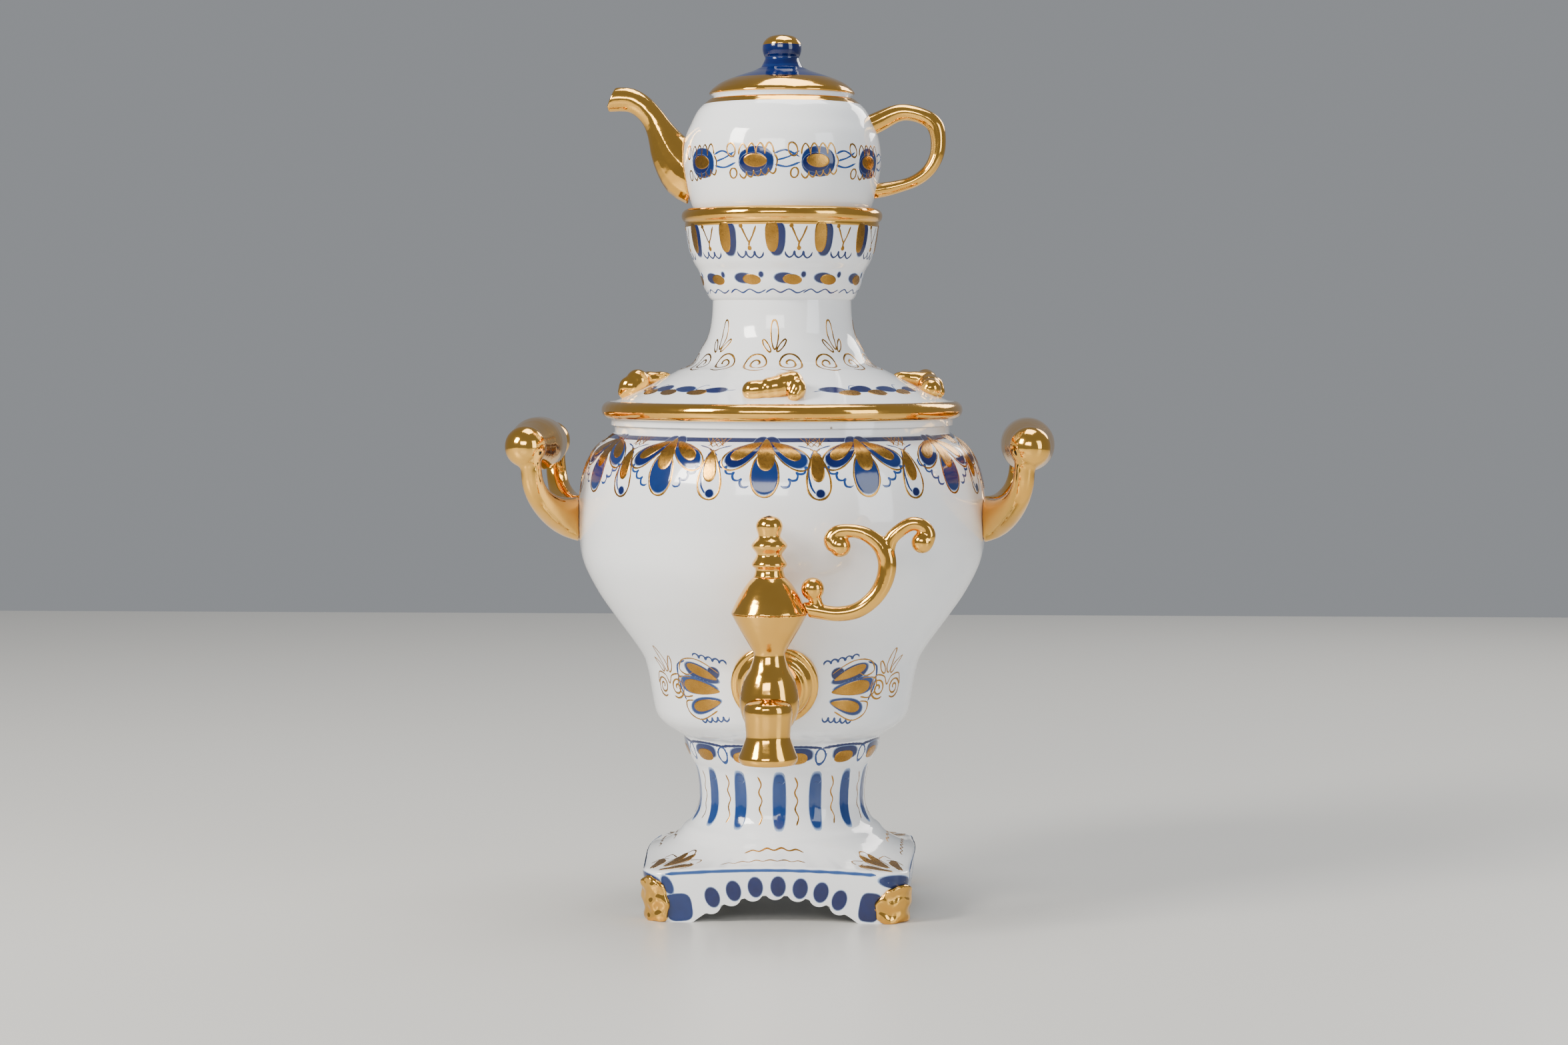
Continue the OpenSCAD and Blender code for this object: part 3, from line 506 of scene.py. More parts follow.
def buildCup():
    low, floorZ, wall = cup["low"], cup["low"] + cup["floor"], cup["wall"]
    inside = beside(cupLine, wall)
    upper = inside[inside[:, 1] > floorZ + 1][::-1]
    lower = inside[(inside[:, 1] > low + 1) & (inside[:, 1] < floorZ - wall - 1)][::-1]
    loop = np.concatenate([
        cupLine, cupRim, upper, [[upper[-1][0] - 2, floorZ], [cup["vent"], floorZ],
                                 [cup["vent"], floorZ - wall]],
        lower, [[neck - crown["wall"], low]]])
    return turned("cupShell", loop)


pot = {"low": 284.0, "height": 76.5, "radius": 44.3, "foot": 23.5, "mouth": 29, "wall": 3,
       "strainer": 1.2, "strainerRing": 4.2, "strainerHoles": 7}
potWide = pot["height"] * 0.66
potFoot, potR, potTop = pot["foot"], pot["radius"], pot["height"]
potLine = smoothLine([
    [potFoot - 0.8, 0], [potFoot, 1.6], [potFoot, 4], [between(potFoot, potR, 0.13), 7.4],
    [between(potFoot, potR, 0.41), potWide * 0.3], [between(potFoot, potR, 0.68), potWide * 0.48],
    [between(potFoot, potR, 0.85), potWide * 0.635], [between(potFoot, potR, 0.965), potWide * 0.84],
    [potR, potWide], [potR - 1.2, between(potWide, potTop, 0.35)],
    [potR - 3.7, between(potWide, potTop, 0.58)],
    [potR - 6.8, between(potWide, potTop, 0.81)], [pot["mouth"] + 4.4, between(potWide, potTop, 0.965)],
    [pot["mouth"] + 3.2, potTop]]) + [0, pot["low"]]


def placed(x, y, z):
    # a pin lying along X, centred at a place in mm
    return Matrix.Translation((x * mm, y * mm, z * mm)) @ Matrix.Rotation(math.pi / 2, 4, "Y")


def buildPot():
    low = pot["low"]
    inside = beside(potLine, pot["wall"])
    inside = inside[(inside[:, 1] > low + 8) & (inside[:, 1] < low + potTop - 2)][::-1]
    loop = np.concatenate([
        potLine, [[pot["mouth"], low + potTop], [pot["mouth"], low + potTop - 1.2]], inside,
        [[0, low + 7], [0, low + 4], [potFoot - pot["wall"], low + 4], [potFoot - pot["wall"], low]]])
    obj = turned("potShell", loop)
    # strainer holes behind the spout: one in the middle and a ring round it
    work = bmesh.new()
    for k in range(pot["strainerHoles"]):
        out = 0 if k == 0 else pot["strainerRing"]
        bmesh.ops.create_cone(work, cap_ends=True, segments=24, radius1=pot["strainer"] * mm,
                              radius2=pot["strainer"] * mm, depth=20 * mm,
                              matrix=placed(-potR, out * math.cos(k * math.pi / 3),
                                            low + potWide + out * math.sin(k * math.pi / 3)))
    pins = bpy.data.meshes.new("strainerPins")
    work.to_mesh(pins)
    work.free()
    tool = newObject("strainerPins", pins)
    cut = obj.modifiers.new("strainer", "BOOLEAN")
    cut.operation = "DIFFERENCE"
    cut.solver = "EXACT"
    cut.object = tool
    applied(obj)
    bpy.data.objects.remove(tool)
    smoothShade(obj.data)
    return obj


lid = {"low": 360.5, "radius": 32.4, "height": 14.2, "wall": 2.8, "ringDepth": 7, "knob": 8.7,
       "knobHeight": 14.7}
lidR, lidH, knobR, knobH = lid["radius"], lid["height"], lid["knob"], lid["knobHeight"]
knobFoot = knobR + 0.8
lidLine = smoothLine([
    [lidR - 2.4, 0], [lidR - 1.6, lidH * 0.11], [lidR, lidH * 0.17], [lidR - 0.4, lidH * 0.25],
    [lidR - 1.9, lidH * 0.36], [lidR - 4.9, lidH * 0.51], [lidR - 9.6, lidH * 0.66],
    [between(knobFoot, lidR, 0.37), lidH * 0.78], [between(knobFoot, lidR, 0.16), lidH * 0.89],
    [knobFoot + 0.8, lidH * 0.985]]) + [0, lid["low"]]
knobLine = smoothLine([
    [knobFoot, 0], [knobR * 0.98, knobH * 0.12], [knobR * 0.87, knobH * 0.28], [knobR * 0.95, knobH * 0.4],
    [knobR, knobH * 0.58], [knobR * 0.93, knobH * 0.77], [knobR * 0.66, knobH * 0.92],
    [knobR * 0.3, knobH * 0.98], [0.01, knobH]]) + [0, lid["low"] + lidH]


ringR = pot["mouth"] - crown["ringClearance"]
lidInside = beside(lidLine, lid["wall"])
lidInside = lidInside[(lidInside[:, 1] > lid["low"] + 1.5) & (lidInside[:, 0] < ringR - lid["wall"])][::-1]


def buildLid():
    low, ring, inside = lid["low"], ringR, lidInside
    loop = np.concatenate([
        [[ring, low - lid["ringDepth"]], [ring, low]], lidLine, [[knobFoot, low + lidH], [0, low + lidH]],
        [[0, low + lidH - lid["wall"]]], inside, [[ring - lid["wall"], low - lid["ringDepth"]]]])
    return turned("lidShell", loop)


def buildKnob():
    return turned("knobShell", np.concatenate([[[0, lid["low"] + lidH]], knobLine[:-1],
                                               [[0, lid["low"] + lidH + knobH]]]))


def finished(obj, material, body, slot, *nodes):
    obj.data.materials.clear()
    obj.data.materials.append(material)
    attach(obj, body)
    if nodes:
        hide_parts(*nodes)
    return obj


finished(buildPedestal(), porcelain, "samovar", "porcelain", "pedestal")
finished(buildVase(), porcelain, "samovar", "porcelain", "vessel")
finished(buildSkirt(), porcelain, "crown", "porcelain", "crown_skirt")
finished(buildCup(), porcelain, "crown", "porcelain", "crown_gallery")
finished(buildPot(), porcelain, "teapot", "porcelain", "teapot_body")
finished(buildLid(), lidGlaze, "lid", "cobalt", "teapot_lid")
finished(buildKnob(), lidGlaze, "lid", "cobalt", "lid_knob")
print("porcelain made")


# each gilt piece: its body, the finest detail kept in mm, and how often it is eased
castings = {
    "handle_left": ("samovar", 0.75, 14), "handle_right": ("samovar", 0.75, 14),
    "tap_rosette": ("samovar", 0.45, 4), "tap_barrel": ("samovar", 0.5, 8),
    "tap_spout": ("samovar", 0.4, 6),
    "tap_plug": ("tap_key", 0.35, 5), "tap_finial": ("tap_key", 0.3, 5), "tap_scroll": ("tap_key", 0.4, 14),
    "teapot_spout": ("teapot", 0.4, 14),
    "paw_front_left": ("samovar", 0.35, 10), "paw_front_right": ("samovar", 0.35, 10),
    "paw_back_left": ("samovar", 0.35, 10), "paw_back_right": ("samovar", 0.35, 10)}


def eased(obj, grain, passes):
    # one closed skin of even grain, smoothed
    remesh = obj.modifiers.new("grain", "REMESH")
    remesh.mode = "VOXEL"
    remesh.voxel_size = grain * mm
    ease = obj.modifiers.new("ease", "SMOOTH")
    ease.factor = 0.5
    ease.iterations = passes
    applied(obj)
    obj.data.shade_smooth()
    return obj


def softened(node, grain, passes):
    # the casting's own solid, with the softness that slip and thick lustre give
    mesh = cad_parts[node].data.copy()
    work = bmesh.new()
    work.from_mesh(mesh)
    bmesh.ops.remove_doubles(work, verts=work.verts, dist=1e-6)
    work.to_mesh(mesh)
    work.free()
    return eased(newObject(node + "_gilt", mesh), grain, passes)


def lumpy(obj, size, depth):
    # uneven chased relief over a casting, from a few crossed waves
    count = len(obj.data.vertices)
    place, out = np.empty(count * 3), np.empty(count * 3)
    obj.data.vertices.foreach_get("co", place)
    obj.data.vertex_normals.foreach_get("vector", out)
    place, out = place.reshape(-1, 3), out.reshape(-1, 3)
    q = place / (size * mm)
    wave = np.sin(q[:, 2] * 2.3 + np.sin(q[:, 0] * 1.7))
    wave += 0.7 * np.sin(q[:, 0] * 2.1 - q[:, 1] * 1.9 + 1.3) * np.cos(q[:, 2] * 1.4)
    place += out * (wave * depth * mm)[:, None]
    place[:, 2] = np.maximum(place[:, 2], 0)
    obj.data.vertices.foreach_set("co", place.ravel())
    obj.data.update()


def sweptBar(name, line, sides=28):
    # rows of x, z, half thickness and half width, swept in the plane y = 0
    rows = smoothLine(line, 8)
    for _ in range(30):
        rows[1:-1] = (rows[:-2] + 2 * rows[1:-1] + rows[2:]) / 4
    along = np.gradient(rows[:, :2], axis=0)
    along /= np.linalg.norm(along, axis=1)[:, None]
    a = np.linspace(0, 2 * math.pi, sides, endpoint=False)
    x = rows[:, 0:1] - along[:, 1:2] * rows[:, 2:3] * np.cos(a)
    z = rows[:, 1:2] + along[:, 0:1] * rows[:, 2:3] * np.cos(a)
    y = rows[:, 3:4] * np.sin(a)
    verts = np.stack([x, y, z], 2).reshape(-1, 3) * mm
    count = len(rows)
    faces = [(i * sides + k, i * sides + (k + 1) % sides, (i + 1) * sides + (k + 1) % sides,
              (i + 1) * sides + k)
             for i in range(count - 1) for k in range(sides)]
    faces += [tuple(range(sides)), tuple(reversed(range((count - 1) * sides, count * sides)))]
    mesh = bpy.data.meshes.new(name)
    mesh.from_pydata(verts.tolist(), [], faces)
    work = bmesh.new()
    work.from_mesh(mesh)
    bmesh.ops.recalc_face_normals(work, faces=work.faces)
    work.to_mesh(mesh)
    work.free()
    smoothShade(mesh, 50)
    return newObject(name, mesh)


def lugObject(node, turn):
    # a rolled leaf: a short toe with a groove round it, then a ridge that ends in a curl
    bm = bmesh.new()
    for x, y, z, *size in lug["lumps"]:
        rx, ry, rz = (half + lug["swell"] for half in size)
        made = bmesh.ops.create_uvsphere(bm, u_segments=96, v_segments=64, radius=1)
        for v in made["verts"]:
            v.co = Vector((x + v.co.x * rx, lug["out"] + y + v.co.y * ry, lug["height"] + z
                           + v.co.z * rz)) * mm
    bm.transform(Matrix.Rotation(turn, 4, "Z"))
    mesh = bpy.data.meshes.new(node + "_gilt")
    bm.to_mesh(mesh)
    bm.free()
    return eased(newObject(node + "_gilt", mesh), lug["grain"], lug["passes"])


lug = {"out": -64.5, "height": 231.1, "grain": 0.3, "passes": 90, "swell": 0.35,
       "lumps": [(-9.2, -2.2, 0.6, 4.4, 4.4, 4.2), (-6.8, -2.2, 0.9, 3.6, 4.5, 4.2),
                 (-2.4, -1.8, 1.4, 3.4, 4.8, 4.7),
                 (1.2, -1.4, 2.0, 4.6, 4.8, 4.8), (4.6, -0.6, 3.0, 4.6, 4.8, 5.2),
                 (7.6, 0.2, 3.4, 5.0, 5.2, 5.6),
                 (10.0, -2.6, 1.4, 3.6, 5.2, 4.6), (8.8, -5.0, -0.8, 3.0, 3.4, 3.2),
                 (3.6, 5.0, 5.0, 3.4, 7.2, 3.0),
                 (2.2, 10.0, 5.8, 2.2, 5.0, 2.2)]}
paw = {"lumpSize": 2.6, "relief": 0.34}
loop = {"rootX": 44.3, "middle": 334.5, "half": 4.2}


def buildLoop():
    x, z, w = loop["rootX"], loop["middle"], loop["half"]
    return sweptBar("teapot_handle_gilt", [
        [x - 8, z + 13, 4.8, w + 1.4], [x - 1, z + 16, 4.6, w + 0.6], [x + 5.6, z + 19.6, 4, w],
        [x + 11.4, z + 20.5, 3.6, w], [x + 18.4, z + 18.6, 3.4, w], [x + 24.2, z + 15.2, 3.9, w],
        [x + 25.5, z + 8.6, 3.4, w], [x + 25.4, z + 2.8, 3.3, w], [x + 23.3, z - 2.9, 3, w],
        [x + 19.5, z - 7.6, 2.8, w], [x + 13.8, z - 11, 2.7, w], [x + 9, z - 12.3, 2.7, w],
        [x + 2, z - 14.2, 3.3, w + 0.4], [x - 9, z - 15.4, 3.5, w + 1.2]])


turns = {"lug_front": 0, "lug_right": math.pi / 2, "lug_back": math.pi, "lug_left": -math.pi / 2}
for node, (body, grain, passes) in castings.items():
    piece = softened(node, grain, passes)
    if node.startswith("paw"):
        lumpy(piece, paw["lumpSize"], paw["relief"])
    finished(piece, gilt, body, "gilt", node)
for node, turn in turns.items():
    finished(lugObject(node, turn), gilt, "crown", "gilt", node)
finished(buildLoop(), gilt, "teapot", "gilt", "teapot_handle")
print("castings made")


# a motif is drawn flat in mm, u to the right and v upwards, then laid on its surface

paintLift = {"cobalt": 0.06, "gold": 0.12, "sunk": -0.04}
brush = {"softness": 1.2, "outlineSides": 30, "lineStep": 6, "spread": 0.3, "lineSpread": 0.42}


def blob(u, v, halfU, halfV, turn=0.0, taper=0.0, square=2.0, tone=0.0):
    # one press of the brush; taper above 0 narrows its upper end
    sides = brush["outlineSides"]
    halfU, halfV = halfU + brush["spread"], halfV + brush["spread"]
    a = np.linspace(0, 2 * math.pi, sides, endpoint=False)
    sx, cx = np.sin(a), np.cos(a)
    outX = np.sign(sx) * np.abs(sx) ** (2 / square) * halfU * (1 - taper * cx) / (1 + 0.25 * abs(taper))
    outY = np.sign(cx) * np.abs(cx) ** (2 / square) * halfV
    c, s = math.cos(math.radians(turn)), math.sin(math.radians(turn))
    fractions = [0.3, 0.6, 0.8, 0.93, 1.0]
    points = [[u, v]]
    edge = [1.0]
    sunk = [False]
    for f in fractions:
        for k in range(sides):
            x, y = outX[k] * f, outY[k] * f
            points.append([u + x * c - y * s, v + x * s + y * c])
            edge.append(min(1.0, (1 - f) * min(halfU, halfV) / brush["softness"]))
            sunk.append(f == 1.0)
    faces = [(0, 1 + (k + 1) % sides, 1 + k) for k in range(sides)]
    for i in range(len(fractions) - 1):
        for k in range(sides):
            n = (k + 1) % sides
            low, high = 1 + i * sides, 1 + (i + 1) * sides
            faces.append((low + k, low + n, high + n, high + k))
    return np.array(points), np.array(edge), np.array(sunk), faces, tone


def stroke(points, width=0.75, tone=0.0, closed=False):
    # a line drawn with the tip of the brush
    if closed:
        points = list(points) + [points[0]]
    p = smoothLine(points, brush["lineStep"])
    along = np.gradient(p, axis=0)
    along /= np.maximum(np.linalg.norm(along, axis=1), 1e-6)[:, None]
    across = np.stack([-along[:, 1], along[:, 0]], 1)
    run = np.concatenate([[0], np.cumsum(np.linalg.norm(np.diff(p, axis=0), axis=1))])
    press = 0.88 + 0.12 * np.sin(run * 0.9)
    if not closed:
        press *= np.clip(np.minimum(run, run[-1] - run) / (width * 1.6) + 0.3, 0.3, 1)
    half = ((width + brush["lineSpread"]) / 2 * press)[:, None]
    verts = np.concatenate([p + across * half, p, p - across * half])
    n = len(p)
    edge = np.concatenate([np.zeros(n), np.ones(n), np.zeros(n)])
    sunk = np.concatenate([np.ones(n, bool), np.zeros(n, bool), np.ones(n, bool)])
    faces = []
    for i in range(n - 1):
        faces.append((i, n + i, n + i + 1, i + 1))
        faces.append((n + i, 2 * n + i, 2 * n + i + 1, n + i + 1))
    return verts, edge, sunk, faces, tone


def loopOutline(u, v, halfU, halfV, turn=0.0, taper=0.0, width=0.7, tone=0.0, grow=1.0):
    # a petal's outline
    a = np.linspace(0, 2 * math.pi, 14, endpoint=False)
    x = np.sin(a) * halfU * (1 - taper * np.cos(a)) / (1 + 0.25 * abs(taper)) * grow
    y = np.cos(a) * halfV * grow
    c, s = math.cos(math.radians(turn)), math.sin(math.radians(turn))
    return stroke(np.stack([u + x * c - y * s, v + x * s + y * c], 1), width, tone, closed=True)


def scallops(start, end, count, depth, width=0.7, tone=0.0):
    # a row of small arcs from start to end; positive depth bulges to the left of the way
    a, b = np.array(start, float), np.array(end, float)
    way = (b - a) / count
    left = np.array([-way[1], way[0]]) / np.linalg.norm(way)
    points = [a]
    for k in range(count):
        base = a + way * k
        for share, rise in ((0.12, 0.6), (0.5, 1.0), (0.88, 0.6), (1.0, 0.0)):
            points.append(base + way * share + left * depth * rise)
    return stroke(points, width, tone)


def spiral(u, v, radius, direction, turns=2.1, width=0.9):
    a = np.linspace(0.5, turns * 2 * math.pi, 26)
    r = radius * (a / a[-1]) ** 0.85
    return stroke(np.stack([u + direction * r * np.sin(a), v - r * np.cos(a)], 1), width)


def wavy(start, end, waves, size, width=0.75, tone=0.0):
    a, b = np.array(start, float), np.array(end, float)
    left = np.array([a[1] - b[1], b[0] - a[0]]) / np.linalg.norm(b - a)
    points = [a + (b - a) * t + left * size * (1 if k % 2 else -1) * (0.8 + 0.4 * math.sin(3.1 * k))
              for k, t in enumerate(np.linspace(0, 1, 2 * waves + 1))]
    return stroke(points, width, tone)


def mirrored(strokes):
    out = []
    for points, edge, sunk, faces, tone in strokes:
        flipped = points * [-1, 1]
        out.append((flipped, edge, sunk, [tuple(reversed(f)) for f in faces], tone))
    return out


def turnedSurface(line, height, radius):
    # lays u and v on a turned surface, counted from a height on its line
    run = np.concatenate([[0], np.cumsum(np.linalg.norm(np.diff(line, axis=0), axis=1))])
    along = np.gradient(line, axis=0)
    along /= np.maximum(np.linalg.norm(along, axis=1), 1e-9)[:, None]
    start = np.interp(height, line[:, 1], run)

    def lay(points, lift):
        s = start + points[:, 1]
        r, z = np.interp(s, run, line[:, 0]), np.interp(s, run, line[:, 1])
        outR, outZ = np.interp(s, run, along[:, 1]), -np.interp(s, run, along[:, 0])
        a = points[:, 0] / radius
        r, z = r + lift * outR, z + lift * outZ
        return np.stack([r * np.sin(a), -r * np.cos(a), z], 1)
    return lay


def layOnFootTop(points, lift):
    r = np.hypot(points[:, 0], points[:, 1])
    return np.stack([points[:, 0], points[:, 1], roofHeight(r) + lift], 1)


def layOnFootFace(points, lift):
    half, radius = foot["floorWidth"] / 2, foot["cornerRadius"]
    straight = half - radius
    u, z = points[:, 0], points[:, 1]
    beyond = np.clip((np.abs(u) - straight) / radius, 0, None)
    inside = np.minimum(np.abs(u), straight)
    swell = foot["bulge"] * (1 + np.cos(np.pi * inside / straight)) / 2
    x = np.sign(u) * (inside + (radius + lift) * np.sin(beyond))
    y = half - radius + (radius + lift) * np.cos(beyond) + np.where(beyond > 0, 0, swell)
    k = plateScale(z)
    return np.stack([x * k, -y * k, z], 1)


def markPaint(mesh, edge, tone):
    # how far inside its rim the paint is, and how pale it is
    for key, values in (("edge", edge), ("tone", tone)):
        mesh.attributes.new(key, "FLOAT", "POINT").data.foreach_set("value", values.astype(np.float32))
    mesh.shade_smooth()


def flatMesh(name, strokes, lay, lift):
    verts, faces, edges, tones = [], [], [], []
    base = 0
    for order, (points, edge, sunk, part, tone) in enumerate(strokes):
        height = np.where(sunk, paintLift["sunk"], lift + 0.002 * order)
        verts.append(lay(points, height))
        faces += [tuple(base + i for i in f) for f in part]
        edges.append(edge)
        tones.append(np.full(len(edge), tone))
        base += len(points)
    mesh = bpy.data.meshes.new(name)
    mesh.from_pydata((np.concatenate(verts) * mm).tolist(), [], faces)
    markPaint(mesh, np.concatenate(edges), np.concatenate(tones))
    return mesh


def motifTree():
    # repeats one motif round the upright axis, each copy a little off its place
    tree = bpy.data.node_groups.new("motifsRound", "GeometryNodeTree")
    face = tree.interface
    face.new_socket("Motif", in_out="INPUT", socket_type="NodeSocketGeometry")
    sockets = {}
    for name, kind in (("Count", "NodeSocketInt"), ("Start", "NodeSocketFloat"), ("Step", "NodeSocketFloat"),
                       ("Unevenness", "NodeSocketFloat"), ("Seed", "NodeSocketInt"),
                       ("Paint", "NodeSocketMaterial")):
        sockets[name] = face.new_socket(name, in_out="INPUT", socket_type=kind).identifier
    face.new_socket("Painted", in_out="OUTPUT", socket_type="NodeSocketGeometry")
    add, tie = tree.nodes.new, wiring(tree)
    given, result = add("NodeGroupInput"), add("NodeGroupOutput")
    points, index = add("GeometryNodePoints"), add("GeometryNodeInputIndex")
    chance = add("FunctionNodeRandomValue")
    turn, low = mathOf(tree, "MULTIPLY"), mathOf(tree, "MULTIPLY", -1)
    shift, sumUp = mathOf(tree, "ADD"), mathOf(tree, "ADD")
    rotation, place = add("ShaderNodeCombineXYZ"), add("GeometryNodeInstanceOnPoints")
    real, paint = add("GeometryNodeRealizeInstances"), add("GeometryNodeSetMaterial")
    tie(given, "Count", points, "Count")
    tie(index, 0, turn, 0)
    tie(given, "Step", turn, 1)
    tie(turn, 0, shift, 0)
    tie(given, "Start", shift, 1)
    tie(given, "Unevenness", low, 0)
    tie(low, 0, chance, 2)
    tie(given, "Unevenness", chance, 3)
    tie(given, "Seed", chance, "Seed")
    tie(shift, 0, sumUp, 0)
    tie(chance, 1, sumUp, 1)
    tie(sumUp, 0, rotation, "Z")
    tie(points, 0, place, "Points")
    tie(given, "Motif", place, "Instance")
    tie(rotation, 0, place, "Rotation")
    tie(place, 0, real, 0)
    tie(real, 0, paint, "Geometry")
    tie(given, "Paint", paint, "Material")
    tie(paint, 0, result, 0)
    return tree, sockets


roundTree, roundSockets = motifTree()
painted = {}


def paintRound(body, paint, strokes, lay, count=1, start=0.0, step=0.0, uneven=0.0, seed=1):
    # angles are in degrees from the front
    lift = paintLift["cobalt" if paint is cobaltPaint else "gold"]
    obj = newObject("motif", flatMesh("motif", strokes, lay, lift))
    ring = obj.modifiers.new("round", "NODES")
    ring.node_group = roundTree
    for name, value in (("Count", count), ("Start", math.radians(start)), ("Step", math.radians(step)),
                        ("Unevenness", math.radians(uneven)), ("Seed", seed), ("Paint", paint)):
        ring[roundSockets[name]] = value
    applied(obj)
    painted.setdefault((body, paint.name), []).append(obj)


def evenly(corners, step):
    # points at a steady step along straight runs, up to but not at the last corner
    corners = np.array(corners, float)
    return np.concatenate([np.linspace(a, b, max(1, math.ceil(np.linalg.norm(b - a) / step)),
                                       endpoint=False)
                           for a, b in zip(corners, corners[1:])])


def bandOn(body, paint, line, above=0.08):
    # a full ring of paint over part of a turned line
    line = np.array(line, float)
    along = np.gradient(line, axis=0)
    along /= np.linalg.norm(along, axis=1)[:, None]
    out = np.stack([along[:, 1], -along[:, 0]], 1)
    height = np.full(len(line), above)
    height[[0, -1]] = paintLift["sunk"]
    over = line + out * height[:, None]
    a = np.linspace(0, 2 * math.pi, roundSides, endpoint=False)
    rings = np.stack([over[:, 0:1] * np.sin(a), -over[:, 0:1] * np.cos(a), over[:, 1:2] + 0 * a], 2)
    rows, steps = rings.shape[:2]
    faces = [(i * steps + k, i * steps + (k + 1) % steps, (i + 1) * steps + (k + 1) % steps,
              (i + 1) * steps + k)
             for i in range(rows - 1) for k in range(steps)]
    mesh = bpy.data.meshes.new("band")
    mesh.from_pydata((rings.reshape(-1, 3) * mm).tolist(), [], faces)
    markPaint(mesh, np.ones(rows * steps), np.zeros(rows * steps))
    mesh.materials.append(paint)
    obj = newObject("band", mesh)
    painted.setdefault((body, paint.name), []).append(obj)


# the shoulder of the vase: fans with lace, nets and long drops between them
shoulder = {"fans": 12, "firstFan": -2.3, "height": 212.2, "radius": 84, "uneven": 1.1}
fanCobalt = [blob(0, -19.5, 5.6, 10.6, 0, 0.25, tone=0.14),
             blob(-8.6, -10.4, 4.7, 10.4, -50, 0.38), blob(9.0, -10.6, 4.7, 10.6, 50, 0.38, tone=0.1),
             blob(-2.4, -4.0, 3.4, 4.2, -24), blob(2.6, -4.0, 3.4, 4.2, 24),
             scallops((-18.8, -14.5), (-6.2, -26.0), 4, -2.3, 1.2, 0.35),
             scallops((6.4, -26.0), (19.2, -14.5), 4, -2.3, 1.2, 0.4)]
fanGold = [blob(0.2, -10.6, 3.7, 9.0, 2, 0.42), blob(-8.2, -9.0, 2.8, 8.0, -51, 0.42),
           blob(8.6, -9.2, 2.8, 7.8, 50, 0.42),
           loopOutline(0, -20.8, 5.5, 9.6, 0, 0.1, 0.9, grow=1.04),
           loopOutline(-9.4, -11.2, 4.7, 9.8, -50, 0.35, 0.8, grow=1.06),
           loopOutline(9.8, -11.4, 4.7, 10.0, 50, 0.35, 0.8, grow=1.06)]
net = [stroke([(-6.2 + 2.4 * k, -0.9), (min(-6.2 + 2.4 * k + 5.0, 4.8 - 0.5 * k), -7.6 + 0.4 * k)], 0.35)
       for k in range(5)]
dropGold = net + mirrored(net) + [loopOutline(0.2, -21.4, 5.0, 10.6, 2, 0.45, 0.85),
                                  blob(0, -16.8, 2.7, 7.6, 2, 0.5),
                                  stroke([(-2.4, -8.4), (0, -10.2), (2.4, -8.4)], 0.5)]
dropCobalt = [blob(0.8, -29.4, 1.8, 1.8),
              stroke([(-1.0, -10), (-3.5, -18), (-3.0, -26), (-0.6, -30)], 1.1, 0.25),
              stroke([(-7.4, -6.4), (-2.0, -8.6), (2.2, -12.4)], 0.8, 0.3),
              stroke([(7.4, -6.4), (2.0, -8.6), (-1.6, -12.0)], 0.8, 0.3)]
lay = turnedSurface(vaseLine, shoulder["height"], shoulder["radius"])
pitch = 360 / shoulder["fans"]
for paint, fan, drop in ((cobaltPaint, fanCobalt, dropCobalt), (goldPaint, fanGold, dropGold)):
    paintRound("samovar", paint, fan, lay, shoulder["fans"], shoulder["firstFan"], pitch,
               shoulder["uneven"], 4)
    paintRound("samovar", paint, drop, lay, shoulder["fans"], shoulder["firstFan"] + pitch / 2, pitch,
               shoulder["uneven"], 9)
bandOn("samovar", cobaltPaint, vaseLine[(vaseLine[:, 1] > 209.6) & (vaseLine[:, 1] < 212.2)], 0.05)

# beside the tap: a fan of three gold petals on each side, and curls further round
hipPaint = {"height": 101, "radius": 60, "curls": 6, "firstCurl": 52, "curlStep": 51.2}
sideCobalt = [blob(33.5, 7.6, 4.0, 9.6, 113, 0.35, tone=0.1),
              blob(36.4, 1.8, 4.2, 11.0, 96, 0.35, tone=0.3),
              blob(33.2, -6.6, 3.8, 9.2, 75, 0.35, tone=0.2), blob(27.5, 8.2, 3.0, 3.0),
              scallops((20.5, 12.6), (35.5, 16.4), 5, 2.0, 1.2, 0.3),
              scallops((36.5, -13.0), (21.5, -11.5), 5, 2.0, 1.2, 0.3),
              stroke([(41, 13.5), (46.8, 10.5), (47.6, 2.5), (44.5, -5.2)], 1.1, 0.25)]
sideGold = [blob(33.4, 8.2, 2.3, 8.0, 113, 0.4), blob(35.0, 0.9, 3.2, 9.8, 97, 0.45),
            blob(32.6, -6.6, 2.5, 7.6, 78, 0.4),
            stroke([(25, 8), (34, 14.5), (42, 14), (46, 9), (42, 6.5), (37, 8.5)], 0.6),
            stroke([(40, 5.5), (47.5, 5), (48.5, 0), (45, -3.5), (40, -3)], 0.6),
            stroke([(27, -9), (36, -13.5), (43, -11), (44.5, -6), (40, -5)], 0.6)]
brow = [(-10.5, 0.8), (-8, 6), (-2.5, 5.2), (0, 1.5), (2.5, 5.2), (8, 6), (10.5, 0.8)]
curls = [spiral(-5.6, 0, 4.9, 1), spiral(5.6, 0, 4.9, -1), stroke(brow, 0.6),
         loopOutline(-1.2, 13.5, 1.6, 6.6, 8, 0.3, 0.55), loopOutline(3.4, 11.0, 1.3, 4.6, -24, 0.3, 0.55),
         loopOutline(-5.0, 10.0, 1.2, 3.8, 34, 0.3, 0.55)]
lay = turnedSurface(vaseLine, hipPaint["height"], hipPaint["radius"])
for paint, side in ((cobaltPaint, sideCobalt), (goldPaint, sideGold)):
    paintRound("samovar", paint, side, lay)
    paintRound("samovar", paint, mirrored(side), lay)
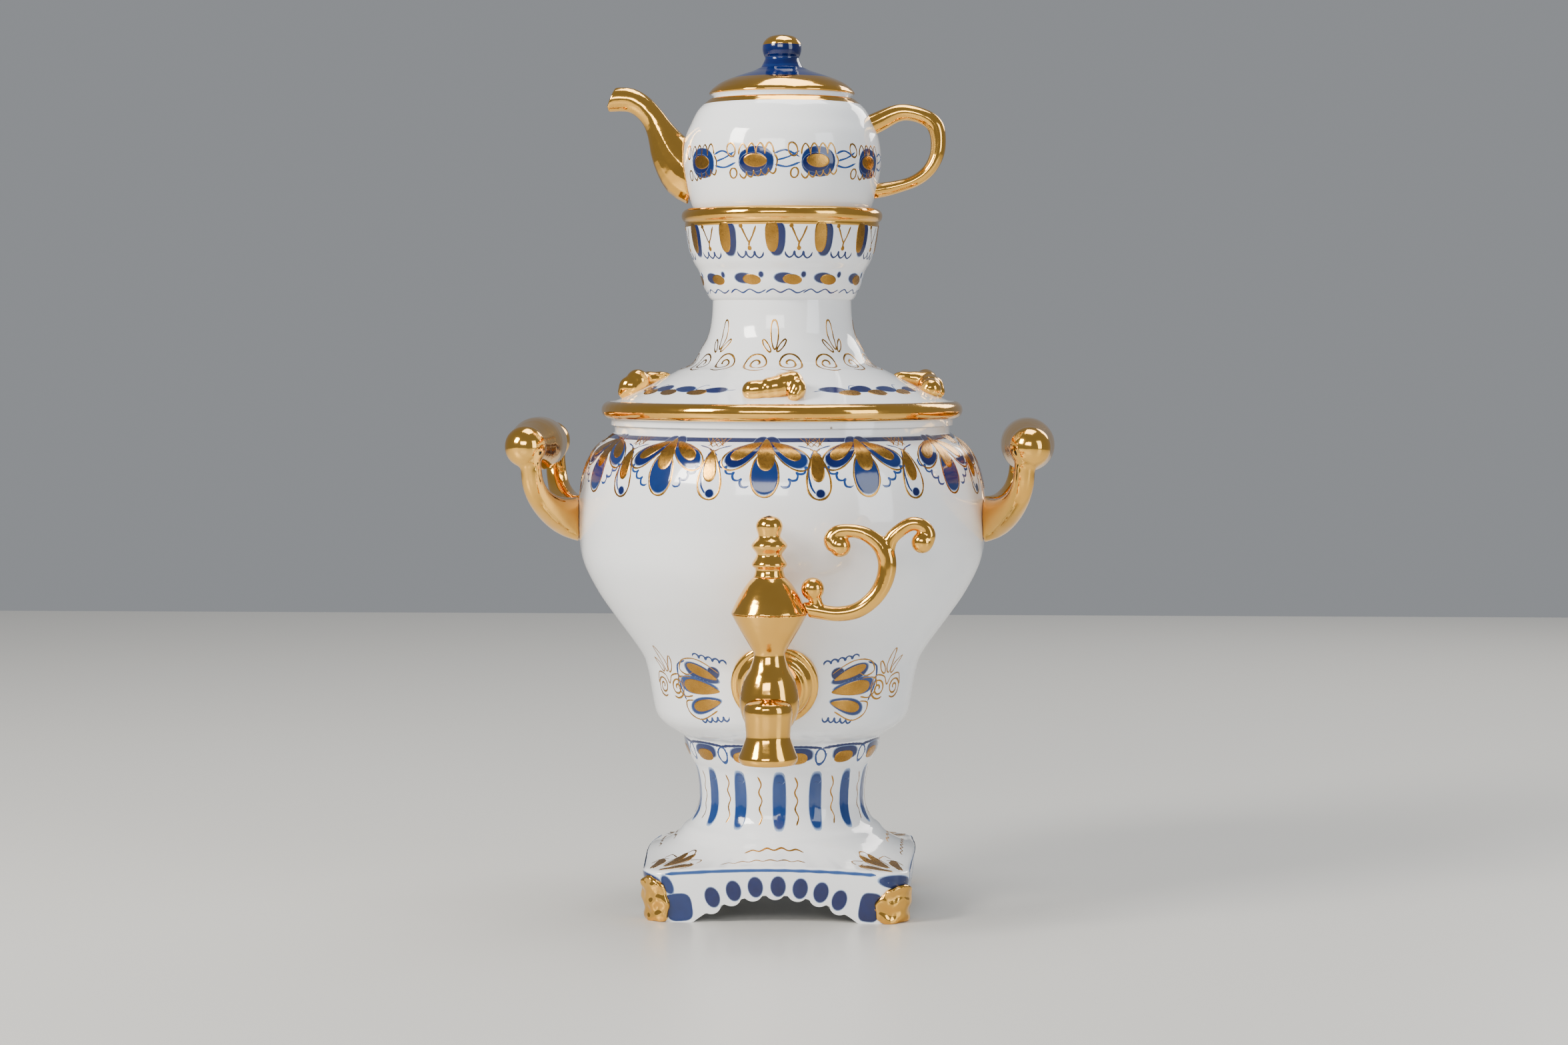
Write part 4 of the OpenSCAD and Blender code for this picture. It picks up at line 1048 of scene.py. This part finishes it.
paintRound("samovar", goldPaint, curls, lay, hipPaint["curls"], hipPaint["firstCurl"],
           hipPaint["curlStep"], 1.5, 3)

# the collar and the stem
collar = {"ovals": 12, "height": 70.6, "radius": 43.4, "first": 11}
lay = turnedSurface(stemLine, collar["height"], collar["radius"])
pitch = 360 / collar["ovals"]
collarCobalt = [blob(0.6, 1.0, 7.4, 3.2, square=2.8, tone=0.05),
                loopOutline(11.3, 0, 2.4, 3.6, 0, 0, 1.0, 0.35),
                stroke([(-11.6, 4.0), (0, 4.8), (11.6, 4.0)], 2.2, 0.05),
                stroke([(8.6, 1.6), (9.8, -2.8), (11.4, -4.4), (13.2, -2.6), (14.2, 1.6)], 1.0, 0.5)]
collarGold = [blob(0, -0.8, 5.2, 2.7, 2, square=2.4)]
for paint, oval in ((cobaltPaint, collarCobalt), (goldPaint, collarGold)):
    paintRound("samovar", paint, oval, lay, collar["ovals"], collar["first"], pitch, 1.4, 5)
stem = {"strokes": 14, "height": 50, "radius": 38, "first": 0.4}
lay = turnedSurface(stemLine, stem["height"], stem["radius"])
pitch = 360 / stem["strokes"]
stemCobalt = [blob(0, 0.4, 3.0, 14.0, 0, -0.05, 2.9, 0.3), blob(0.1, 10.8, 2.3, 3.0, square=2.4, tone=0.05)]
stemGold = [wavy((0, 11.5), (0.6, -10.5), 3, 0.8, 0.7)]
paintRound("samovar", cobaltPaint, stemCobalt, lay, stem["strokes"], stem["first"], pitch, 1.5, 7)
paintRound("samovar", goldPaint, stemGold, lay, stem["strokes"], stem["first"] + pitch / 2, pitch, 2.0, 8)

# the foot
arches = [(-26.8, 10.4), (-17.6, 13.4), (-8.3, 15.2), (1.3, 15.6), (10.6, 14.7), (19.4, 13.0), (27.3, 9.5)]
faceCobalt = [blob(x, z + 0.9, 3.2, 4.7, -x * 0.4) for x, z in arches] + [
    blob(-41.5, 6.6, 5.8, 6.2, 4, square=3.4, tone=0.12), blob(40.5, 7.2, 4.6, 6.6, -6, square=3.4),
    blob(51.5, 18.4, 8.8, 3.0, -6, tone=0.1), blob(-45.5, 16.6, 2.2, 4.6, 20, tone=0.15),
    stroke([(-46, 21.4), (-22, 23.0), (0, 23.6), (22, 23.0), (42, 21.6)], 1.5, 0.55)]
paintRound("samovar", cobaltPaint, faceCobalt, layOnFootFace, 4, 0, 90)
leaf = [blob(-42.6, -44.8, 1.7, 8.0, 127, 0.4), blob(-43.4, -52.2, 1.6, 7.6, 102, 0.4),
        blob(-52.4, -44.8, 1.7, 6.6, 156, 0.4),
        stroke([(-36, -37.6), (-38, -36), (-45, -39), (-50, -46)], 0.5),
        stroke([(-35, -50), (-33, -47), (-38, -44.5)], 0.5),
        stroke([(-48, -38), (-52, -36.6), (-55.4, -42)], 0.5)]
ripples = [wavy((-14, -47.9), (12, -47.7), 4, 0.6, 0.65), wavy((-24, -54.2), (13, -54.4), 6, 0.6, 0.65)]
topGold = ripples + leaf + mirrored(leaf)
paintRound("samovar", goldPaint, topGold, layOnFootTop, 4, 0, 90)

# the crown: curls round the neck and leaf garlands between the lugs
neckPaint = {"curls": 8, "height": 243, "radius": 41, "first": -2}
lay = turnedSurface(skirtLine, neckPaint["height"], neckPaint["radius"])
neckGold = [spiral(-7.2, 0, 6.6, 1), spiral(7.4, 0.2, 6.6, -1),
            loopOutline(0.2, 14.4, 2.1, 7.0, 3, -0.25, 0.75),
            loopOutline(-3.8, 9.2, 1.1, 3.8, 36, 0, 0.7), loopOutline(4.0, 9.4, 1.1, 3.8, -36, 0, 0.7)]
paintRound("crown", goldPaint, neckGold, lay, neckPaint["curls"], neckPaint["first"],
           360 / neckPaint["curls"], 1.6, 2)
garland = {"count": 4, "height": 231.5, "radius": 62, "first": 45}
lay = turnedSurface(skirtLine, garland["height"], garland["radius"])
twig = [(-33, -1), (-22, 1.6), (-8, 0), (6, 1.6), (20, -0.4), (31, 1)]
leafCobalt = [blob(-24, 0.8, 3.0, 6.2, 86, 0.2), blob(-10, 1.4, 3.2, 6.0, 96, 0.2),
              blob(5, 1.2, 3.0, 6.2, 86, 0.2, tone=0.05), blob(21.5, 0.4, 2.8, 6.0, 94, 0.2),
              stroke(twig, 0.6, 0.4),
              stroke([(-16, 1), (-14, 4.6), (-11, 5)], 0.5, 0.5),
              stroke([(11, 1), (13.5, 4.8), (16.5, 5)], 0.5, 0.5)]
leafGold = [blob(-17, -2.2, 2.6, 5.0, 92, 0.2), blob(-3.0, -2.0, 2.7, 4.8, 86, 0.2),
            blob(13.4, -1.8, 2.5, 4.8, 94, 0.2)]
paintRound("crown", cobaltPaint, leafCobalt, lay, garland["count"], garland["first"], 90, 1.2, 6)
paintRound("crown", goldPaint, leafGold, lay, garland["count"], garland["first"], 90, 1.2, 6)
bandOn("crown", gilt, beadLine)

# the cup
cupPaint = {"drops": 12, "height": 304.2, "radius": 43.2, "first": -2}
lay = turnedSurface(cupLine, cupPaint["height"], cupPaint["radius"])
pitch = 360 / cupPaint["drops"]
cupCobalt = [blob(1.1, -6.9, 4.1, 7.9, 0, -0.12, 2.6),
             scallops((5.0, -12.4), (17.8, -12.8), 3, -2.8, 1.2, 0.1)]
cupGold = [blob(-0.9, -5.9, 2.9, 6.9, 1, -0.1, 2.5), stroke([(7.8, -1.4), (9.6, -5.4), (11.3, -8.8)], 0.8),
           stroke([(14.8, -1.2), (13.0, -5.6), (11.3, -8.8), (11.2, -11.4)], 0.8),
           blob(11.3, -11.0, 0.7, 0.8), blob(7.7, -1.2, 0.7, 0.7)]
for paint, drop in ((cobaltPaint, cupCobalt), (goldPaint, cupGold)):
    paintRound("crown", paint, drop, lay, cupPaint["drops"], cupPaint["first"], pitch, 1.0, 11)
waist = {"height": 280.5, "radius": 36.4, "count": 12, "first": 5, "step": 30}
lay = turnedSurface(cupLine, waist["height"], waist["radius"])
ripple = [(-9.6, -7.0), (-6, -5.2), (-2.4, -6.8), (1.6, -5.2), (5.6, -7.0), (9.6, -5.4)]
waistCobalt = [blob(-0.6, 0, 4.9, 2.4, -4), blob(7.8, 1.6, 1.1, 1.4), stroke(ripple, 0.9, 0.25)]
waistGold = [blob(2.6, -0.7, 4.2, 2.1, -6)]
for paint, oval, uneven, seed in ((cobaltPaint, waistCobalt, 1.2, 12), (goldPaint, waistGold, 2.4, 13)):
    paintRound("crown", paint, oval, lay, waist["count"], waist["first"], waist["step"], uneven, seed)
bandOn("crown", gilt, np.concatenate([cupLine[-3:], cupRim]))

# the teapot: a row of flowers, left free where the spout and the handle are, and its gilt neck
flowers = {"height": 331, "radius": 44.2, "count": 4, "frontFirst": -51, "backFirst": 123, "step": 38}
lay = turnedSurface(potLine, flowers["height"], flowers["radius"])
flowerCobalt = [blob(0.3, -0.2, 8.0, 6.6, -4, square=2.3, tone=0.1), blob(-1.0, -0.6, 6.4, 4.4, 2),
                stroke([(8.5, 3.2), (13.5, 4.6), (19.5, 1.6)], 1.2, 0.4),
                stroke([(8.8, -1.6), (14, -2.6), (20, -0.6)], 1.2, 0.5),
                stroke([(9.5, 0.2), (14.5, 1.6), (19.5, 4.2)], 1.0, 0.5)]
flowerGold = [blob(0, 0.2, 5.3, 2.8, -3), scallops((-7.6, 2.6), (8.4, 3.2), 4, 4.8, 0.7),
              scallops((9.2, -2.8), (-7.6, -5.2), 5, 2.6, 0.7),
              stroke([(8.4, 3.2), (9.8, 0.4), (9.2, -2.8)], 0.7),
              loopOutline(-11.4, 5.0, 2.0, 3.0, 16, 0, 0.7),
              loopOutline(-10.6, -5.2, 1.7, 2.2, -10, 0, 0.7)]
for first, seed in ((flowers["frontFirst"], 21), (flowers["backFirst"], 22)):
    for paint, flower in ((cobaltPaint, flowerCobalt), (goldPaint, flowerGold)):
        paintRound("teapot", paint, flower, lay, flowers["count"], first, flowers["step"], 1.5, seed)
bandOn("teapot", gilt, potLine[(potLine[:, 1] > 357.8)])

# the lid: gilt shoulder and knob cap, white rim, underside and ring
bandOn("lid", gilt, lidLine[(lidLine[:, 0] > 22.6) & (lidLine[:, 1] > 362.5)])
ringLow, ringIn = lid["low"] - lid["ringDepth"], ringR - lid["wall"]
bandOn("lid", porcelain, np.concatenate([
    [[0.05, lid["low"] + lidH - lid["wall"]]], lidInside,
    evenly([[ringIn, lidInside[-1][1] - 0.5], [ringIn, ringLow], [ringR, ringLow], [ringR, lid["low"]],
            lidLine[0]], 0.5),
    lidLine[lidLine[:, 1] < 362.6]]), 0.04)
bandOn("lid", gilt, knobLine[knobLine[:, 1] > 384.6], 0.06)


def joinPaint():
    for (body, name), parts in painted.items():
        bpy.ops.object.select_all(action="DESELECT")
        for part in parts:
            part.select_set(True)
        bpy.context.view_layer.objects.active = parts[0]
        if len(parts) > 1:
            bpy.ops.object.join()
        parts[0].name = name + "_" + body
        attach(parts[0], body)


joinPaint()
print("painting laid on")


studio = {"floorSize": 3.0, "floorColour": (0.60, 0.59, 0.56, 1), "worldColour": (0.50, 0.52, 0.55, 1),
          "worldStrength": 0.55,
          "lights": [("key", (-1.25, -0.95, 1.15), 0.55, 0.7, 50, (1.0, 0.96, 0.89)),
                     ("fill", (1.3, -0.9, 0.6), 0.6, 1.0, 9, (0.88, 0.94, 1.0)),
                     ("front", (-0.25, -1.7, 0.8), 0.9, 0.4, 11, (1.0, 0.98, 0.95)),
                     ("top", (0.1, 0.2, 1.5), 0.8, 0.8, 15, (1.0, 1.0, 1.0)),
                     ("back", (0.8, 1.1, 0.9), 0.6, 0.6, 8, (1.0, 0.97, 0.92))]}


def buildStudio():
    half = studio["floorSize"] / 2
    mesh = bpy.data.meshes.new("floor")
    mesh.from_pydata([(-half, -half, 0), (half, -half, 0), (half, half, 0), (-half, half, 0)], [],
                     [(0, 1, 2, 3)])
    floor = newObject("floor", mesh)
    material = bpy.data.materials.new("floorPaint")
    material.use_nodes = True
    shader = material.node_tree.nodes["Principled BSDF"]
    shader.inputs["Base Color"].default_value = studio["floorColour"]
    shader.inputs["Roughness"].default_value = 0.35
    mesh.materials.append(material)
    for name, place, sizeX, sizeY, power, colour in studio["lights"]:
        data = bpy.data.lights.new(name, "AREA")
        data.shape, data.size, data.size_y = "RECTANGLE", sizeX, sizeY
        data.energy, data.color = power, colour
        lamp = newObject(name, data)
        lamp.location = place
        lamp.rotation_euler = (Vector((0, 0, 0.2)) - Vector(place)).to_track_quat("-Z", "Y").to_euler()
    world = bpy.data.worlds.new("studio")
    world.use_nodes = True
    world.node_tree.nodes["Background"].inputs["Color"].default_value = studio["worldColour"]
    world.node_tree.nodes["Background"].inputs["Strength"].default_value = studio["worldStrength"]
    bpy.context.scene.world = world


view = {"distance": 1.410, "eye": 0.252, "turn": 2.9, "pitch": 3.273, "aside": 0.0009, "lens": 72.06,
        "sensor": 36.0}


def buildCamera():
    data = bpy.data.cameras.new("camera")
    data.lens, data.sensor_width, data.sensor_fit = view["lens"], view["sensor"], "HORIZONTAL"
    camera = newObject("camera", data)
    turn = math.radians(view["turn"])
    camera.location = (view["distance"] * math.sin(turn) + view["aside"] * math.cos(turn),
                       -view["distance"] * math.cos(turn) + view["aside"] * math.sin(turn), view["eye"])
    camera.rotation_euler = (math.radians(90 - view["pitch"]), 0, turn)
    bpy.context.scene.camera = camera


buildStudio()
buildCamera()
print("scene finished")
